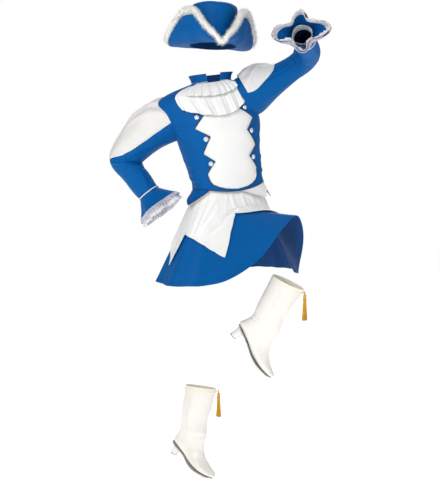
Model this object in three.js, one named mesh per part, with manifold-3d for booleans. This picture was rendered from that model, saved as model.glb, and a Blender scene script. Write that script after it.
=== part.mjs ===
// A majorette costume, worn and hollow: jacket with bib, jabot and flared cuffs, pointed overskirt,
// flared skirt, three-cornered hat and two ankle boots with tassels.
// Millimetres. +Z is up, -Y is towards the viewer, +X is the viewer's right.
// The origin is the middle of the neck opening, level with the line the jacket hangs from.
// "Left" and "right" are the costume's own. The left sleeve is raised, and so are the left side of the skirt
// and the left boot.
import * as THREE from 'three';
import Module from 'manifold-3d';
import { mergeVertices } from 'three/addons/utils/BufferGeometryUtils.js';

const wasm = await Module();
wasm.setup();

const cloth = 2;                // thickness of a sewn cloth wall
const lace = 1.4;               // thickness of a lace or frill wall
const seam = 0.4;               // gap between two pieces at a seam
const leather = 2.2;            // thickness of a boot's upper
const hemAtCentre = 6;          // lowest edge of the jacket above its lowest section
const hemAtSide = 24;
const collarHeight = 27;
const cuffLength = 60;
const laceWidth = 11;
const frillFrom = 56;           // where along the cuff a frill is sewn in
const frillReach = 28;          // how far a frill shows past the cuff's mouth
const pipingRadius = 2;
const buttonRadius = 9;
const skirtLength = 402;        // from the skirt's waist to its hem
const hatYaw = 9;
const hatTilt = -2;
const hatRoll = 2;
const hatCentre = [4, -6, 164];
const brimBase = 90;
const furRadius = 17;
const standingBoot = { x: -119, y: -20, z: -1407, turn: -40, pitch: -20, roll: -11, flex: -14, tasselAt: 38, tasselRise: -1, cordEnd: -0.85 };
const raisedBoot = { x: 102, y: -235, z: -922, turn: -8, pitch: -50, roll: 0, flex: -20, tasselAt: 0, tasselRise: 0, cordEnd: 0.95 };

const group = new THREE.Group();

// Small helpers
const rad = THREE.MathUtils.degToRad;
const vec = (x, y, z) => new THREE.Vector3(x, y, z);
const lerp = THREE.MathUtils.lerp;
const smooth = THREE.MathUtils.smoothstep;

function table(names, rows) {
  const keys = names.split(' ');
  return rows.map((row) => Object.fromEntries(keys.map((key, i) => [key, row[i]])));
}

// Reads a table at any place between its rows. "Smooth" goes through the rows on a cubic, "straight" on lines.
function reader(rows, kind = 'smooth') {
  const keys = Object.keys(rows[0]);
  const at = rows.map((row) => row[keys[0]]);
  const slopes = {};
  for (const key of keys.slice(1)) {
    const y = rows.map((row) => row[key]);
    const d = at.slice(1).map((x, i) => (y[i + 1] - y[i]) / (x - at[i]));
    slopes[key] = at.map((x, i) => {
      if (i === 0) return d[0];
      if (i === at.length - 1) return d[i - 1];
      const before = x - at[i - 1];
      const after = at[i + 1] - x;
      return (d[i - 1] * after + d[i] * before) / (before + after);
    });
  }
  return (x) => {
    let i = 0;
    while (i < at.length - 2 && x > at[i + 1]) i += 1;
    const h = at[i + 1] - at[i];
    const t = (x - at[i]) / h;
    const found = {};
    for (const key of keys.slice(1)) {
      const y0 = rows[i][key];
      const y1 = rows[i + 1][key];
      if (kind === 'straight') {
        found[key] = lerp(y0, y1, THREE.MathUtils.clamp(t, 0, 1));
      } else {
        const m0 = slopes[key][i] * h;
        const m1 = slopes[key][i + 1] * h;
        found[key] = (2 * t ** 3 - 3 * t ** 2 + 1) * y0 + (t ** 3 - 2 * t ** 2 + t) * m0
          + (-2 * t ** 3 + 3 * t ** 2) * y1 + (t ** 3 - t ** 2) * m1;
      }
    }
    return found;
  };
}

// A surface is a function of s and t, both 0 to 1. Its normal comes from its own slopes, unless it lies on
// another surface and brings that one's normal.
function normalAt(surface, s, t) {
  if (surface.normal) return surface.normal(s, t);
  const e = 1e-3;
  const ds = surface(s + e, t).sub(surface(s - e, t));
  const dt = surface(s, t + e).sub(surface(s, t - e));
  return ds.cross(dt).normalize();
}

function moved(surface, s, t, by) {
  return surface(s, t).addScaledVector(normalAt(surface, s, t), by);
}

// Points of a surface on a grid, each moved out by a distance.
function grid(surface, across, along, by) {
  return along.map((t) => across.map((s) => moved(surface, s, t, by)));
}

function steps(n) {
  return Array.from({ length: n + 1 }, (_, i) => i / n);
}

// Closes an outer and an inner grid into one wall. A ring's columns wrap round. Faces end up pointing out.
function wall(outer, inner, ring) {
  const positions = [];
  const quad = (a, b, c, d) => {
    const corners = a.distanceTo(c) <= b.distanceTo(d) ? [a, b, c, a, c, d] : [b, c, d, b, d, a];
    for (const p of corners) positions.push(p.x, p.y, p.z);
  };
  const rows = outer.length;
  const cols = outer[0].length;
  const lastCol = ring ? cols : cols - 1;
  for (let j = 0; j < rows - 1; j += 1) {
    for (let i = 0; i < lastCol; i += 1) {
      const k = (i + 1) % cols;
      quad(outer[j][i], outer[j][k], outer[j + 1][k], outer[j + 1][i]);
      quad(inner[j][i], inner[j + 1][i], inner[j + 1][k], inner[j][k]);
    }
  }
  for (let i = 0; i < lastCol; i += 1) {
    const k = (i + 1) % cols;
    quad(inner[0][i], inner[0][k], outer[0][k], outer[0][i]);
    quad(outer[rows - 1][i], outer[rows - 1][k], inner[rows - 1][k], inner[rows - 1][i]);
  }
  if (!ring) {
    for (let j = 0; j < rows - 1; j += 1) {
      quad(inner[j][0], outer[j][0], outer[j + 1][0], inner[j + 1][0]);
      quad(outer[j][cols - 1], inner[j][cols - 1], inner[j + 1][cols - 1], outer[j + 1][cols - 1]);
    }
  }
  return tidy(positions);
}

// Merges shared vertices, drops triangles without area, and turns the faces out if they point in.
function tidy(positions) {
  const geometry = new THREE.BufferGeometry();
  geometry.setAttribute('position', new THREE.Float32BufferAttribute(positions, 3));
  const merged = mergeVertices(geometry, 1e-3);
  const p = merged.attributes.position;
  const index = merged.index.array;
  const kept = [];
  let volume = 0;
  for (let i = 0; i < index.length; i += 3) {
    const [a, b, c] = [index[i], index[i + 1], index[i + 2]];
    if (a !== b && b !== c && c !== a) {
      kept.push(a, b, c);
      const [u, v, w] = [a, b, c].map((k) => vec(p.getX(k), p.getY(k), p.getZ(k)));
      volume += u.dot(v.cross(w));
    }
  }
  if (volume < 0) {
    for (let i = 0; i < kept.length; i += 3) [kept[i + 1], kept[i + 2]] = [kept[i + 2], kept[i + 1]];
  }
  merged.setIndex(kept);
  return merged;
}

// A wall on a surface, from one distance off it to another. Rings leave their last column out.
function sheet(surface, { across, along, from = 0, to = cloth, ring = false }) {
  const columns = ring ? across.slice(0, -1) : across;
  return wall(grid(surface, columns, along, to), grid(surface, columns, along, from), ring);
}

// A filled tube between two ends of a ring surface.
function filled(surface, across, along, by) {
  const rings = grid(surface, across.slice(0, -1), along, by);
  const middle = (row) => row.reduce((sum, p) => sum.add(p), vec(0, 0, 0)).divideScalar(row.length);
  const caps = [rings[0], rings[rings.length - 1]].map((row) => row.map(() => middle(row)));
  const all = [caps[0], ...rings, caps[1]];
  const positions = [];
  for (let j = 0; j < all.length - 1; j += 1) {
    for (let i = 0; i < all[0].length; i += 1) {
      const k = (i + 1) % all[0].length;
      const [a, b, c, d] = [all[j][i], all[j][k], all[j + 1][k], all[j + 1][i]];
      for (const p of [a, b, c, a, c, d]) positions.push(p.x, p.y, p.z);
    }
  }
  return tidy(positions);
}

function solid(geometry) {
  const mesh = new wasm.Mesh({
    numProp: 3,
    vertProperties: new Float32Array(geometry.attributes.position.array),
    triVerts: new Uint32Array(geometry.index.array),
  });
  return new wasm.Manifold(mesh);
}

function geometryOf(manifold) {
  const pieces = manifold.decompose().sort((a, b) => b.volume() - a.volume());
  const mesh = pieces[0].getMesh();
  const geometry = new THREE.BufferGeometry();
  geometry.setAttribute('position', new THREE.BufferAttribute(mesh.vertProperties, 3));
  geometry.setIndex(new THREE.BufferAttribute(mesh.triVerts, 1));
  return geometry;
}

const materials = {
  blue: { color: 0x0b5cab, roughness: 0.55 },
  white: { color: 0xf3f3f1, roughness: 0.45 },
  lace: { color: 0xe9e7ee, roughness: 0.6 },
  fur: { color: 0xf6f5f2, roughness: 0.95 },
  silver: { color: 0xd9dbe0, roughness: 0.25, metalness: 0.9 },
  leather: { color: 0xf1f0ec, roughness: 0.35 },
  gold: { color: 0xd9a015, roughness: 0.5 },
};

function add(name, geometry, material) {
  const mesh = new THREE.Mesh(geometry, new THREE.MeshStandardMaterial(materials[material]));
  mesh.name = name;
  mesh.geometry.computeVertexNormals();
  group.add(mesh);
  return mesh;
}

// Body of the jacket: sections up the spine from the waist to the neck.
// Roll lifts the costume's left side, yaw turns the front to the viewer's right.
const torsoSections = table('height x z roll yaw left right front back', [
  [0, 64, -376, 6, 18, 138, 138, 112, 98],
  [42, 57, -335, 7, 18, 133, 133, 106, 94],
  [89, 47, -289, 8, 19, 138, 138, 112, 96],
  [135, 38, -244, 9, 20, 143, 144, 120, 100],
  [180, 30, -199, 10, 20, 150, 151, 128, 104],
  [233, 21, -147, 11, 19, 158, 160, 131, 108],
  [283, 13, -98, 12, 17, 160, 178, 122, 110],
  [328, 7, -53, 12, 14, 152, 198, 104, 106],
  [363, 3, -18, 11, 12, 140, 212, 88, 97],
  [380, 2, -1, 11, 11, 130, 205, 80, 91],
  [392, 1, 10, 10, 10, 116, 175, 72, 85],
  [400, 0, 18, 9, 9, 100, 140, 65, 77],
  [407, 0, 25, 8, 8, 84, 104, 60, 69],
  [413, 0, 31, 7, 8, 72, 76, 58, 63],
]);
const torsoAt = reader(torsoSections);
const squareness = 2.25;        // 2 is an ellipse, more is fuller at the corners
const neckHeight = 413;

// The costume's left is 0 degrees, the front 90, the right 180, the back 270.
function bodyAxes(height) {
  const row = torsoAt(height);
  const yaw = rad(row.yaw);
  const roll = rad(row.roll);
  const sideways = vec(Math.cos(yaw) * Math.cos(roll), Math.sin(yaw) * Math.cos(roll), Math.sin(roll));
  const forward = vec(Math.sin(yaw), -Math.cos(yaw), 0);
  return { row, sideways, forward };
}

function torso(angle, height) {
  const { row, sideways, forward } = bodyAxes(height);
  const c = Math.cos(rad(angle));
  const s = Math.sin(rad(angle));
  const power = 2 / squareness;
  const side = (c > 0 ? row.left : row.right) * Math.sign(c) * Math.abs(c) ** power;
  const depth = (s > 0 ? row.front : row.back) * Math.sign(s) * Math.abs(s) ** power;
  return vec(row.x, 0, row.z).addScaledVector(sideways, side).addScaledVector(forward, depth);
}

function hemHeight(angle) {
  const away = Math.min(1, Math.abs(90 - angle) / 70);
  return lerp(hemAtCentre, hemAtSide, smooth(away, 0, 1));
}

// Half the angle of the bib opening at each height: three teeth a side, closed under the bib's round end.
const bibEdge = reader(table('height half', [
  [0, 0.09], [8, 0.09], [10, 15], [18, 27], [30, 36], [44, 40], [80, 43], [126, 26], [160, 43],
  [220, 25], [258, 42], [298, 22], [345, 30], [413, 30],
]), 'straight');
const jacketRows = [0, 8, 10, 18, 30, 44, 80, 103, 126, 160, 190, 220, 258, 278, 298, 322, 345, 366, 380, 392, 400, 407, 413];
const backRows = [0, 24, 48, 89, 135, 190, 250, 298, 328, 350, 366, 380, 392, 400, 407, 413];

// Lets the jacket's lowest rows follow its curved hem.
function onHem(angle, height) {
  return height + hemHeight(angle) * Math.max(0, 1 - height / 60);
}

const jacket = (s, t) => torso(360 * (1 - s), onHem(360 * (1 - s), t * neckHeight));

// A jacket panel between two angles, either of which may change with the height.
function panel(first, last) {
  const angleAt = (s, t) => lerp(first(t * neckHeight), last(t * neckHeight), 1 - s);
  const surface = (s, t) => jacket(1 - angleAt(s, t) / 360, t);
  surface.normal = (s, t) => normalAt(jacket, 1 - angleAt(s, t) / 360, t);
  return surface;
}

const along = (rows) => rows.map((height) => height / neckHeight);
const sideSeam = 0.16;
const frontRight = panel((h) => 90 + bibEdge(h).half, () => 180 - sideSeam);
const frontLeft = panel(() => sideSeam, (h) => 90 - bibEdge(h).half);
const back = panel(() => 180 + sideSeam, () => 360 - sideSeam);
const wholeTorso = (s, t) => torso(-360 * s, t * neckHeight);

// Sleeves: sections from inside the shoulder to the cuff's seam. Heading is the way the sleeve runs in the
// viewer's plane, forward how far it points at the viewer, wide and deep are half its section.
const rightSleeve = table('place x y z heading forward wide deep', [
  [0, -139, 0, -104, 203.5, 0, 84, 78],
  [1, -175, 0, -118, 203.5, 0, 80, 76],
  [2, -218, 2, -140, 206, 0, 76, 70],
  [3, -264, 6, -179, 214, 0, 68, 64],
  [4, -307, 9, -231, 238, 0, 59, 58],
  [5, -325, 8, -263, 261, 2, 61, 56],
  [6, -316, 2, -288, 272, 6, 59, 54],
  [7, -291, -3, -316, 287, 6, 50, 48],
  [8, -265, -8, -349, 300, 7, 45, 44],
  [9, -238, -14, -384, 308, 7, 41, 41],
]);
const leftSleeve = table('place x y z heading forward wide deep', [
  [0, 92, 0, -40, 26, 0, 74, 78],
  [1, 136, 0, -18, 29, 0, 79, 76],
  [2, 188, 4, 19, 31, 0, 73, 68],
  [3, 250, 8, 51, 36, 0, 53, 56],
  [4, 304, 10, 85, 34, 8, 45, 50],
  [5, 336, -2, 110, 30, 36, 46, 49],
  [6, 353, -36, 132, 36, 66, 49, 50],
  [7, 350, -84, 148, 90, 76, 46, 46],
  [8, 340, -132, 160, 118, 72, 43, 43],
  [9, 328, -180, 172, 122, 70, 41, 41],
]);

// The way a sleeve runs, from its heading and forward angles.
function running(row) {
  const h = rad(row.heading);
  const f = rad(row.forward);
  return vec(Math.cos(f) * Math.cos(h), -Math.sin(f), Math.cos(f) * Math.sin(h));
}

// Turns a sleeve's rows into frames: centre, axis, and two half-section directions carried along unturned.
function framesOf(rows) {
  let side = null;
  return rows.map((row) => {
    const axis = running(row);
    if (!side) side = axis.clone().cross(vec(0, 1, 0));
    side = side.clone().addScaledVector(axis, -side.dot(axis)).normalize();
    const depth = axis.clone().cross(side);
    return {
      place: row.place,
      x: row.x, y: row.y, z: row.z,
      sx: side.x, sy: side.y, sz: side.z,
      dx: depth.x, dy: depth.y, dz: depth.z,
      ax: axis.x, ay: axis.y, az: axis.z,
      wide: row.wide, deep: row.deep,
    };
  });
}

function sleeveSurface(rows) {
  const at = reader(framesOf(rows));
  const last = rows.length - 1;
  return (s, t) => {
    const f = at(t * last);
    const turn = rad(360 * s);
    return vec(f.x, f.y, f.z)
      .addScaledVector(vec(f.sx, f.sy, f.sz), f.wide * Math.cos(turn))
      .addScaledVector(vec(f.dx, f.dy, f.dz), f.deep * Math.sin(turn));
  };
}

// Jacket walls, each cut by the filled sleeves, and sleeves cut by the filled body.
const rightArm = sleeveSurface(rightSleeve);
const leftArm = sleeveSurface(leftSleeve);
const sleeveColumns = steps(15);
const sleeveRows = steps(12);
const bodyFill = solid(filled(wholeTorso, steps(48), along(jacketRows), cloth + seam + 0.4));
const armFill = [rightArm, leftArm].map((arm) => solid(filled(arm, sleeveColumns, sleeveRows.slice(0, 9), seam)));

function cutByArms(geometry) {
  return geometryOf(solid(geometry).subtract(armFill[0]).subtract(armFill[1]));
}

add('jacket_front_right', cutByArms(sheet(frontRight, { across: steps(6), along: along(jacketRows) })), 'blue');
add('jacket_front_left', cutByArms(sheet(frontLeft, { across: steps(6), along: along(jacketRows) })), 'blue');
add('jacket_back', cutByArms(sheet(back, { across: steps(11), along: along(backRows) })), 'blue');

// Each sleeve is sewn from an upper and a lower part, with a seam at the bend. The raised one has a part more above it.
const afterSeam = (row) => [row / 12 + 0.003, ...sleeveRows.slice(row + 1)];
const lowerPart = ['sleeve_lower', afterSeam(7)];
const sleeveParts = {
  right: [['sleeve', sleeveRows.slice(0, 8)], lowerPart],
  left: [['sleeve', sleeveRows.slice(0, 5)], ['sleeve_middle', afterSeam(4).slice(0, 4)], lowerPart],
};
for (const [name, arm] of [['right', rightArm], ['left', leftArm]]) {
  for (const [part, rows] of sleeveParts[name]) {
    const tube = sheet(arm, { across: sleeveColumns, along: rows, from: -cloth, to: 0, ring: true });
    add(`${part}_${name}`, geometryOf(solid(tube).subtract(bodyFill)), 'blue');
  }
}

// White insets on the outer side of each upper sleeve, a leaf from the armhole to the sleeve's bend.
const insetRight = reader(table('place middle half', [
  [0.2, 180, 96], [1, 180, 101], [2, 180, 106], [3, 180, 103], [4, 180, 84], [4.7, 180, 56], [5.15, 180, 4],
]));
const insetLeft = reader(table('place middle half', [
  [0.9, -4, 86], [1.5, 0, 90], [2.1, 0, 84], [2.6, 0, 70], [2.95, 0, 52], [3.15, 0, 30], [3.27, 0, 4],
]));

// Rises from 0 to 1 and back over 0 to 1.
function bulge(x) {
  return Math.max(0, Math.sin(Math.PI * THREE.MathUtils.clamp(x, 0, 1))) ** 0.7;
}

function insetSurface(arm, rows, first, last) {
  const onArm = (s, t) => {
    const place = lerp(first, last, t);
    const { middle, half } = rows(place);
    return [(middle + half * (2 * s - 1)) / 360, place / 9];
  };
  const surface = (s, t) => moved(arm, ...onArm(s, t), 9 * bulge(s) * bulge(0.15 + 0.85 * t));
  surface.normal = (s, t) => normalAt(arm, ...onArm(s, t));
  return surface;
}

for (const [name, arm, fill, rows, first, last] of [
  ['sleeve_inset_right', rightArm, armFill[0], insetRight, 0.2, 5.12],
  ['sleeve_inset_left', leftArm, armFill[1], insetLeft, 1, 3.25],
]) {
  const leaf = sheet(insetSurface(arm, rows, first, last), { across: steps(8), along: steps(7), from: 0.9, to: 2.9 });
  add(name, geometryOf(solid(leaf).subtract(bodyFill).subtract(fill)), 'white');
}

// Flared cuffs. The mouth is a round or an oval with four soft waves, and the frill goes on past it.
const cuffs = {
  right: { rows: rightSleeve, mouth: 80, oval: 0, wave: 9, phase: 20 },
  left: { rows: leftSleeve, mouth: 70, oval: 0.14, wave: 15, phase: 60 },
};

function cuffSurface({ rows, mouth, oval, wave, phase }) {
  const f = framesOf(rows)[rows.length - 1];
  const centre = vec(f.x, f.y, f.z);
  const side = vec(f.sx, f.sy, f.sz);
  const depth = vec(f.dx, f.dy, f.dz);
  const axis = vec(f.ax, f.ay, f.az);
  return (s, length) => {
    const turn = rad(360 * s);
    const t = length / cuffLength;
    const past = Math.max(0, t - 1);
    const flare = t <= 1 ? Math.max(0, t) ** 1.15 : 1 + past * 0.55;
    const lobe = turn - rad(phase);
    const waved = (mouth * oval * Math.cos(2 * lobe) + wave * Math.cos(4 * lobe)) * Math.max(0, Math.min(t, 1.15)) ** 2;
    const radius = lerp(f.wide, mouth, flare) + waved;
    return centre.clone()
      .addScaledVector(axis, length)
      .addScaledVector(side, radius * Math.cos(turn))
      .addScaledVector(depth, radius * Math.sin(turn));
  };
}

for (const [side, cuff] of Object.entries(cuffs)) {
  const shape = cuffSurface(cuff);
  const between = (first, last, ruffle = () => 0) => (s, t) => {
    const length = lerp(first, last, t);
    const base = (a, b) => shape(a, lerp(first, last, b));
    const by = ruffle(s, length);
    return by === 0 ? shape(s, length) : moved(base, s, t, by);
  };
  add(`cuff_${side}`, sheet(between(seam, cuffLength), {
    across: steps(28), along: steps(3), from: -cloth, to: 0, ring: true,
  }), 'blue');
  add(`cuff_lace_${side}`, sheet(between(cuffLength + 2 * seam, cuffLength + laceWidth), {
    across: steps(28), along: steps(1), from: -lace, to: 0, ring: true,
  }), 'lace');
  const ruffle = (s, length) => {
    const grown = THREE.MathUtils.clamp((length - frillFrom) / (cuffLength + frillReach - frillFrom), 0, 1);
    return -(cloth + 1.3 + 6 * Math.min(1, 2 * grown)) + 5.3 * grown * Math.cos(rad(360 * 9 * s));
  };
  const frillWall = sheet(between(frillFrom, cuffLength + frillReach, ruffle), {
    across: steps(36), along: steps(2), from: -lace / 2, to: lace / 2, ring: true,
  });
  const cuffFill = solid(sheet(between(seam, cuffLength), {
    across: steps(28), along: steps(3), from: -cloth - seam, to: 0.5, ring: true,
  }));
  add(`cuff_frill_${side}`, geometryOf(solid(frillWall).subtract(cuffFill)), 'lace');
  const wristlet = (s, t) => {
    const turn = rad(360 * s);
    const f = framesOf(cuff.rows)[cuff.rows.length - 1];
    const radius = 32.6 + (f.wide - cloth - 33.2) * Math.exp(-9 * t) + t * (4 + 1.5 * Math.cos(4 * turn));
    return vec(f.x, f.y, f.z)
      .addScaledVector(vec(f.ax, f.ay, f.az), lerp(2, 44, t))
      .addScaledVector(vec(f.sx, f.sy, f.sz), radius * Math.cos(turn))
      .addScaledVector(vec(f.dx, f.dy, f.dz), radius * Math.sin(turn));
  };
  add(`wrist_lace_${side}`, sheet(wristlet, {
    across: steps(16), along: [0, 0.3, 1], from: -lace, to: 0, ring: true,
  }), 'lace');
  const f = framesOf(cuff.rows)[cuff.rows.length - 1];
  const pipe = (s, t) => {
    const turn = rad(360 * s);
    const round = rad(360 * t);
    const radius = f.wide + pipingRadius + 0.95 + pipingRadius * Math.cos(round);
    return vec(f.x, f.y, f.z)
      .addScaledVector(vec(f.ax, f.ay, f.az), pipingRadius * Math.sin(round) - 1.2)
      .addScaledVector(vec(f.sx, f.sy, f.sz), radius * Math.cos(turn))
      .addScaledVector(vec(f.dx, f.dy, f.dz), radius * Math.sin(turn));
  };
  add(`cuff_piping_${side}`, torusOf(pipe, 20, 4), 'white');
}

// A tube that closes on itself both ways.
function torusOf(surface, around, round) {
  const positions = [];
  for (let i = 0; i < around; i += 1) {
    for (let j = 0; j < round; j += 1) {
      const corner = (a, b) => surface((a % around) / around, (b % round) / round);
      const [a, b, c, d] = [corner(i, j), corner(i + 1, j), corner(i + 1, j + 1), corner(i, j + 1)];
      for (const p of [a, b, c, a, c, d]) positions.push(p.x, p.y, p.z);
    }
  }
  return tidy(positions);
}

// Bib: a white panel just under the jacket's toothed edges.
const bib = (s, t) => {
  const height = lerp(13, 400, t);
  const half = 46 * Math.min(1, 0.3 + Math.sqrt(Math.max(0, t)) * 2.4);
  return torso(90 + half * (1 - 2 * s), height);
};
const bibWall = sheet(bib, { across: steps(12), along: steps(12), from: -cloth - 1.6, to: -1.6 });
const bibClearance = 0.8;       // degrees the bib keeps clear of the teeth's edges where it would touch them
const frontFills = [
  panel((h) => 90 + Math.max(0.05, bibEdge(h).half - bibClearance), () => 180 - sideSeam),
  panel(() => sideSeam, (h) => 90 - Math.max(0.05, bibEdge(h).half - bibClearance)),
].map((surface) => solid(sheet(surface, { across: steps(6), along: along(jacketRows), from: -seam, to: cloth + 1 })));
add('bib', geometryOf(solid(bibWall).subtract(frontFills[0]).subtract(frontFills[1])), 'white');

// Stand collar, open at the throat.
const collarGap = 16;
const collar = (s, t) => {
  const angle = lerp(90 - collarGap, -270 + collarGap, s);
  const foot = torso(angle, neckHeight);
  const middle = vec(0, 0, 31);
  const out = foot.clone().sub(middle).setZ(0).normalize();
  return foot.add(vec(-0.1, 0, 1).normalize().multiplyScalar(cloth + 0.7 + collarHeight * t)).addScaledVector(out, 9 * t * t);
};
add('collar', sheet(collar, { across: steps(22), along: steps(2), from: -cloth / 2, to: cloth / 2 }), 'blue');

// Jabot: a wide fall over the bib's top and a short gathered tier under the throat.
function jabotTier({ top, bottom, corner, halfTop, halfBottom, out, fullness, waves, depth }) {
  return (s, t) => {
    const x = 1 - 2 * s;
    const low = bottom + corner * Math.abs(x) ** 1.6;
    const height = lerp(low, top, t);
    const angle = 90 + x * lerp(halfBottom, halfTop, t);
    const base = (a, b) => torso(90 + (1 - 2 * a) * lerp(halfBottom, halfTop, b), lerp(low, top, b));
    const falling = 1 - t;
    const stand = lerp(cloth + 1, out, Math.min(1, 8 * falling));
    const by = stand + fullness * falling * (1 - 0.5 * x * x) + depth * falling * Math.cos(Math.PI * waves * x);
    const normal = normalAt(base, s, THREE.MathUtils.clamp(t, 0.02, 0.98));
    return torso(angle, height).addScaledVector(normal, by);
  };
}
const jabotFall = jabotTier({
  top: 404, bottom: 284, corner: 46, halfTop: 46, halfBottom: 41, out: 5, fullness: 8, waves: 6, depth: 3.5,
});
const jabotRuffle = jabotTier({
  top: 409, bottom: 352, corner: 22, halfTop: 27, halfBottom: 31, out: 9.5, fullness: 13, waves: 8, depth: 3.5,
});
add('jabot_fall', cutByArms(sheet(jabotFall, { across: steps(22), along: [0, 0.4, 0.75, 0.9, 1], from: 0, to: lace })), 'white');
add('jabot_ruffle', cutByArms(sheet(jabotRuffle, { across: steps(30), along: steps(2), from: 0, to: lace })), 'white');

// Six domed buttons, one by each tooth.
const buttonPlaces = table('number half height', [[1, 30, 298], [2, 32, 214], [3, 33, 120]]);
for (const { number, half, height } of buttonPlaces) {
  for (const [side, sign] of [['right', 1], ['left', -1]]) {
    const surface = (s, t) => torso(90 - 120 * (s - 0.5), t * neckHeight);
    const s = 0.5 - (sign * half) / 120;
    const dome = new THREE.LatheGeometry([
      new THREE.Vector2(0, 0), new THREE.Vector2(buttonRadius - 1, 0), new THREE.Vector2(buttonRadius, 1.5),
      new THREE.Vector2(buttonRadius * 0.72, 4.6), new THREE.Vector2(0, 6),
    ], 10);
    dome.deleteAttribute('normal');
    dome.deleteAttribute('uv');
    const normal = normalAt(surface, s, height / neckHeight);
    const place = moved(surface, s, height / neckHeight, cloth + 0.5);
    dome.applyQuaternion(new THREE.Quaternion().setFromUnitVectors(vec(0, 1, 0), normal));
    dome.translate(place.x, place.y, place.z);
    add(`button_${side}_${number}`, tidy(dome.toNonIndexed().attributes.position.array), 'silver');
  }
}

// Basque: pointed tabs that hang from the jacket's hem, blue outside.
const down = vec(0, 0, -1);
function outward(angle) {
  const { sideways, forward } = bodyAxes(0);
  const c = Math.cos(rad(angle));
  const s = Math.sin(rad(angle));
  return sideways.clone().multiplyScalar(c).addScaledVector(forward, s).setZ(0).normalize();
}
function hanging(first, last, cut) {
  return (s, t) => {
    const angle = lerp(first, last, 1 - s);
    const { drop, lean } = cut(angle);
    const length = 0.95 + drop * t;
    return torso(angle, hemHeight(angle))
      .addScaledVector(outward(angle), length * Math.sin(rad(lean)))
      .addScaledVector(down, length * Math.cos(rad(lean)));
  };
}
const basqueCut = reader(table('angle drop lean', [
  [136, 6, 22], [167, 68, 32], [200, 28, 24], [236, 74, 21], [270, 26, 21], [304, 74, 21], [345, 30, 22], [378, 62, 24],
  [386, 48, 24],
]), 'straight');
const turnbackCut = reader(table('angle drop lean', [[28, 22, 30], [52, 56, 36], [84, 4, 34]]), 'straight');
const basqueColumns = [
  136, 146, 157, 167, 178, 189, 200, 212, 224, 236, 247, 259, 270, 281, 293, 304, 318, 332, 345, 356, 367, 378, 386,
].map((angle) => 1 - (angle - 136) / (386 - 136)).reverse();
add('basque', sheet(hanging(136, 386, basqueCut), { across: basqueColumns, along: steps(2), from: 0, to: cloth }), 'blue');
const turnbackColumns = [0, 0.2, 0.4, 0.571, 0.8, 1];
add('turnback_left', sheet(hanging(28, 84, turnbackCut), {
  across: turnbackColumns, along: steps(2), from: 0, to: cloth,
}), 'white');

// Skirt: every line of cloth leaves the waist downwards, flares over the hip, and on the lifted side
// turns forward. A soft ramp says how much of a line's length lies past a given place on it.
const waistHeight = 45;
const waistInset = 17;          // how far inside the jacket the skirt starts
const hipAt = 40;               // where the cloth starts to flare
const creaseAt = 120;           // where the lifted side turns forward
const liftAngle = 79;
const liftWay = vec(0.6, -0.8, -0.02).normalize();
const flare = 25;
const skirtWaves = 9;
const waveDepth = 9;

function ramp(length, start, softness) {
  const past = length - start;
  return 0.5 * (past + Math.sqrt(past * past + softness * softness));
}

function lifted(angle) {
  const away = ((angle - liftAngle + 540) % 360) - 180;
  return Math.exp(-(Math.abs(away / (away > 0 ? 31 : 27)) ** 2.1));
}

function skirt(angle, length, clear) {
  const out = outward(angle);
  const lift = lifted(angle);
  const hip = out.clone().multiplyScalar(Math.sin(rad(flare))).addScaledVector(down, Math.cos(rad(flare)));
  const turned = hip.clone().multiplyScalar(1 - lift).addScaledVector(liftWay, lift).normalize();
  const flared = ramp(length, hipAt, 24) - ramp(0, hipAt, 24);
  const bent = ramp(length, creaseAt, 34) - ramp(0, creaseAt, 34);
  const wave = waveDepth * Math.max(0, length / skirtLength) ** 1.5 * (1 - 0.8 * lift);
  const ripple = Math.cos(rad(angle * skirtWaves + 40)) + 0.35 * Math.cos(rad(angle * 4 + 70));
  return torso(angle, waistHeight)
    .addScaledVector(out, -waistInset + clear * (1 - lift * Math.min(1, Math.max(0, bent) / 60)) + wave * ripple)
    .addScaledVector(down, length - flared)
    .addScaledVector(hip, flared - bent)
    .addScaledVector(turned, bent)
    .add(vec(0, 0, clear * lift * Math.min(1, Math.max(0, bent) / 60)));
}

const skirtSurface = (s, t) => skirt(-360 * s, skirtLength * (1 - t), 0);
const skirtGrid = { across: steps(40), along: [0, 0.2, 0.4, 0.58, 0.7, 0.8, 0.9, 1], ring: true };
add('skirt', sheet(skirtSurface, { ...skirtGrid, from: -cloth, to: 0 }), 'blue');

// Overskirt: gathered at the waist, cut to long points. Length of cloth at each angle round the hips.
const overskirtCuts = [
  [-34, 300], [-20, 176], [48, 280], [70, 290], [98, 148], [103.5, 178], [109, 222], [115.4, 312], [121, 277],
  [130, 246], [145, 217], [162, 197], [172, 326], [204, 186], [226, 316], [262, 180], [280, 316], [326, 300],
];
const overskirtEdge = reader(table('angle length', overskirtCuts), 'straight');
const overskirtColumns = overskirtCuts.slice(0, -1).flatMap(([angle], i) => {
  const gap = overskirtCuts[i + 1][0] - angle;
  const parts = Math.max(gap > 12 ? 2 : 1, Math.round(gap / 10));
  return Array.from({ length: parts }, (_, k) => angle + (gap * k) / parts);
}).concat([326]);
const overskirtSurface = (s, t) => {
  const angle = 326 - 360 * s;
  const length = overskirtEdge(angle).length * (1 - t);
  const gather = 1.4 * Math.exp(-Math.max(0, length) / 90) * (1 + Math.cos(rad(angle * 22)));
  return skirt(angle, length, 0.9 + gather + 5.5 * Math.max(0, Math.min(1, length / 100)));
};
const overskirtWall = sheet(overskirtSurface, {
  across: overskirtColumns.map((angle) => (326 - angle) / 360).reverse(), along: steps(5), from: 0, to: cloth, ring: true,
});
const skirtFill = solid(sheet(skirtSurface, { ...skirtGrid, from: -cloth, to: seam + 0.2 }));
add('overskirt', geometryOf(solid(overskirtWall).subtract(skirtFill)), 'white');

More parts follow.
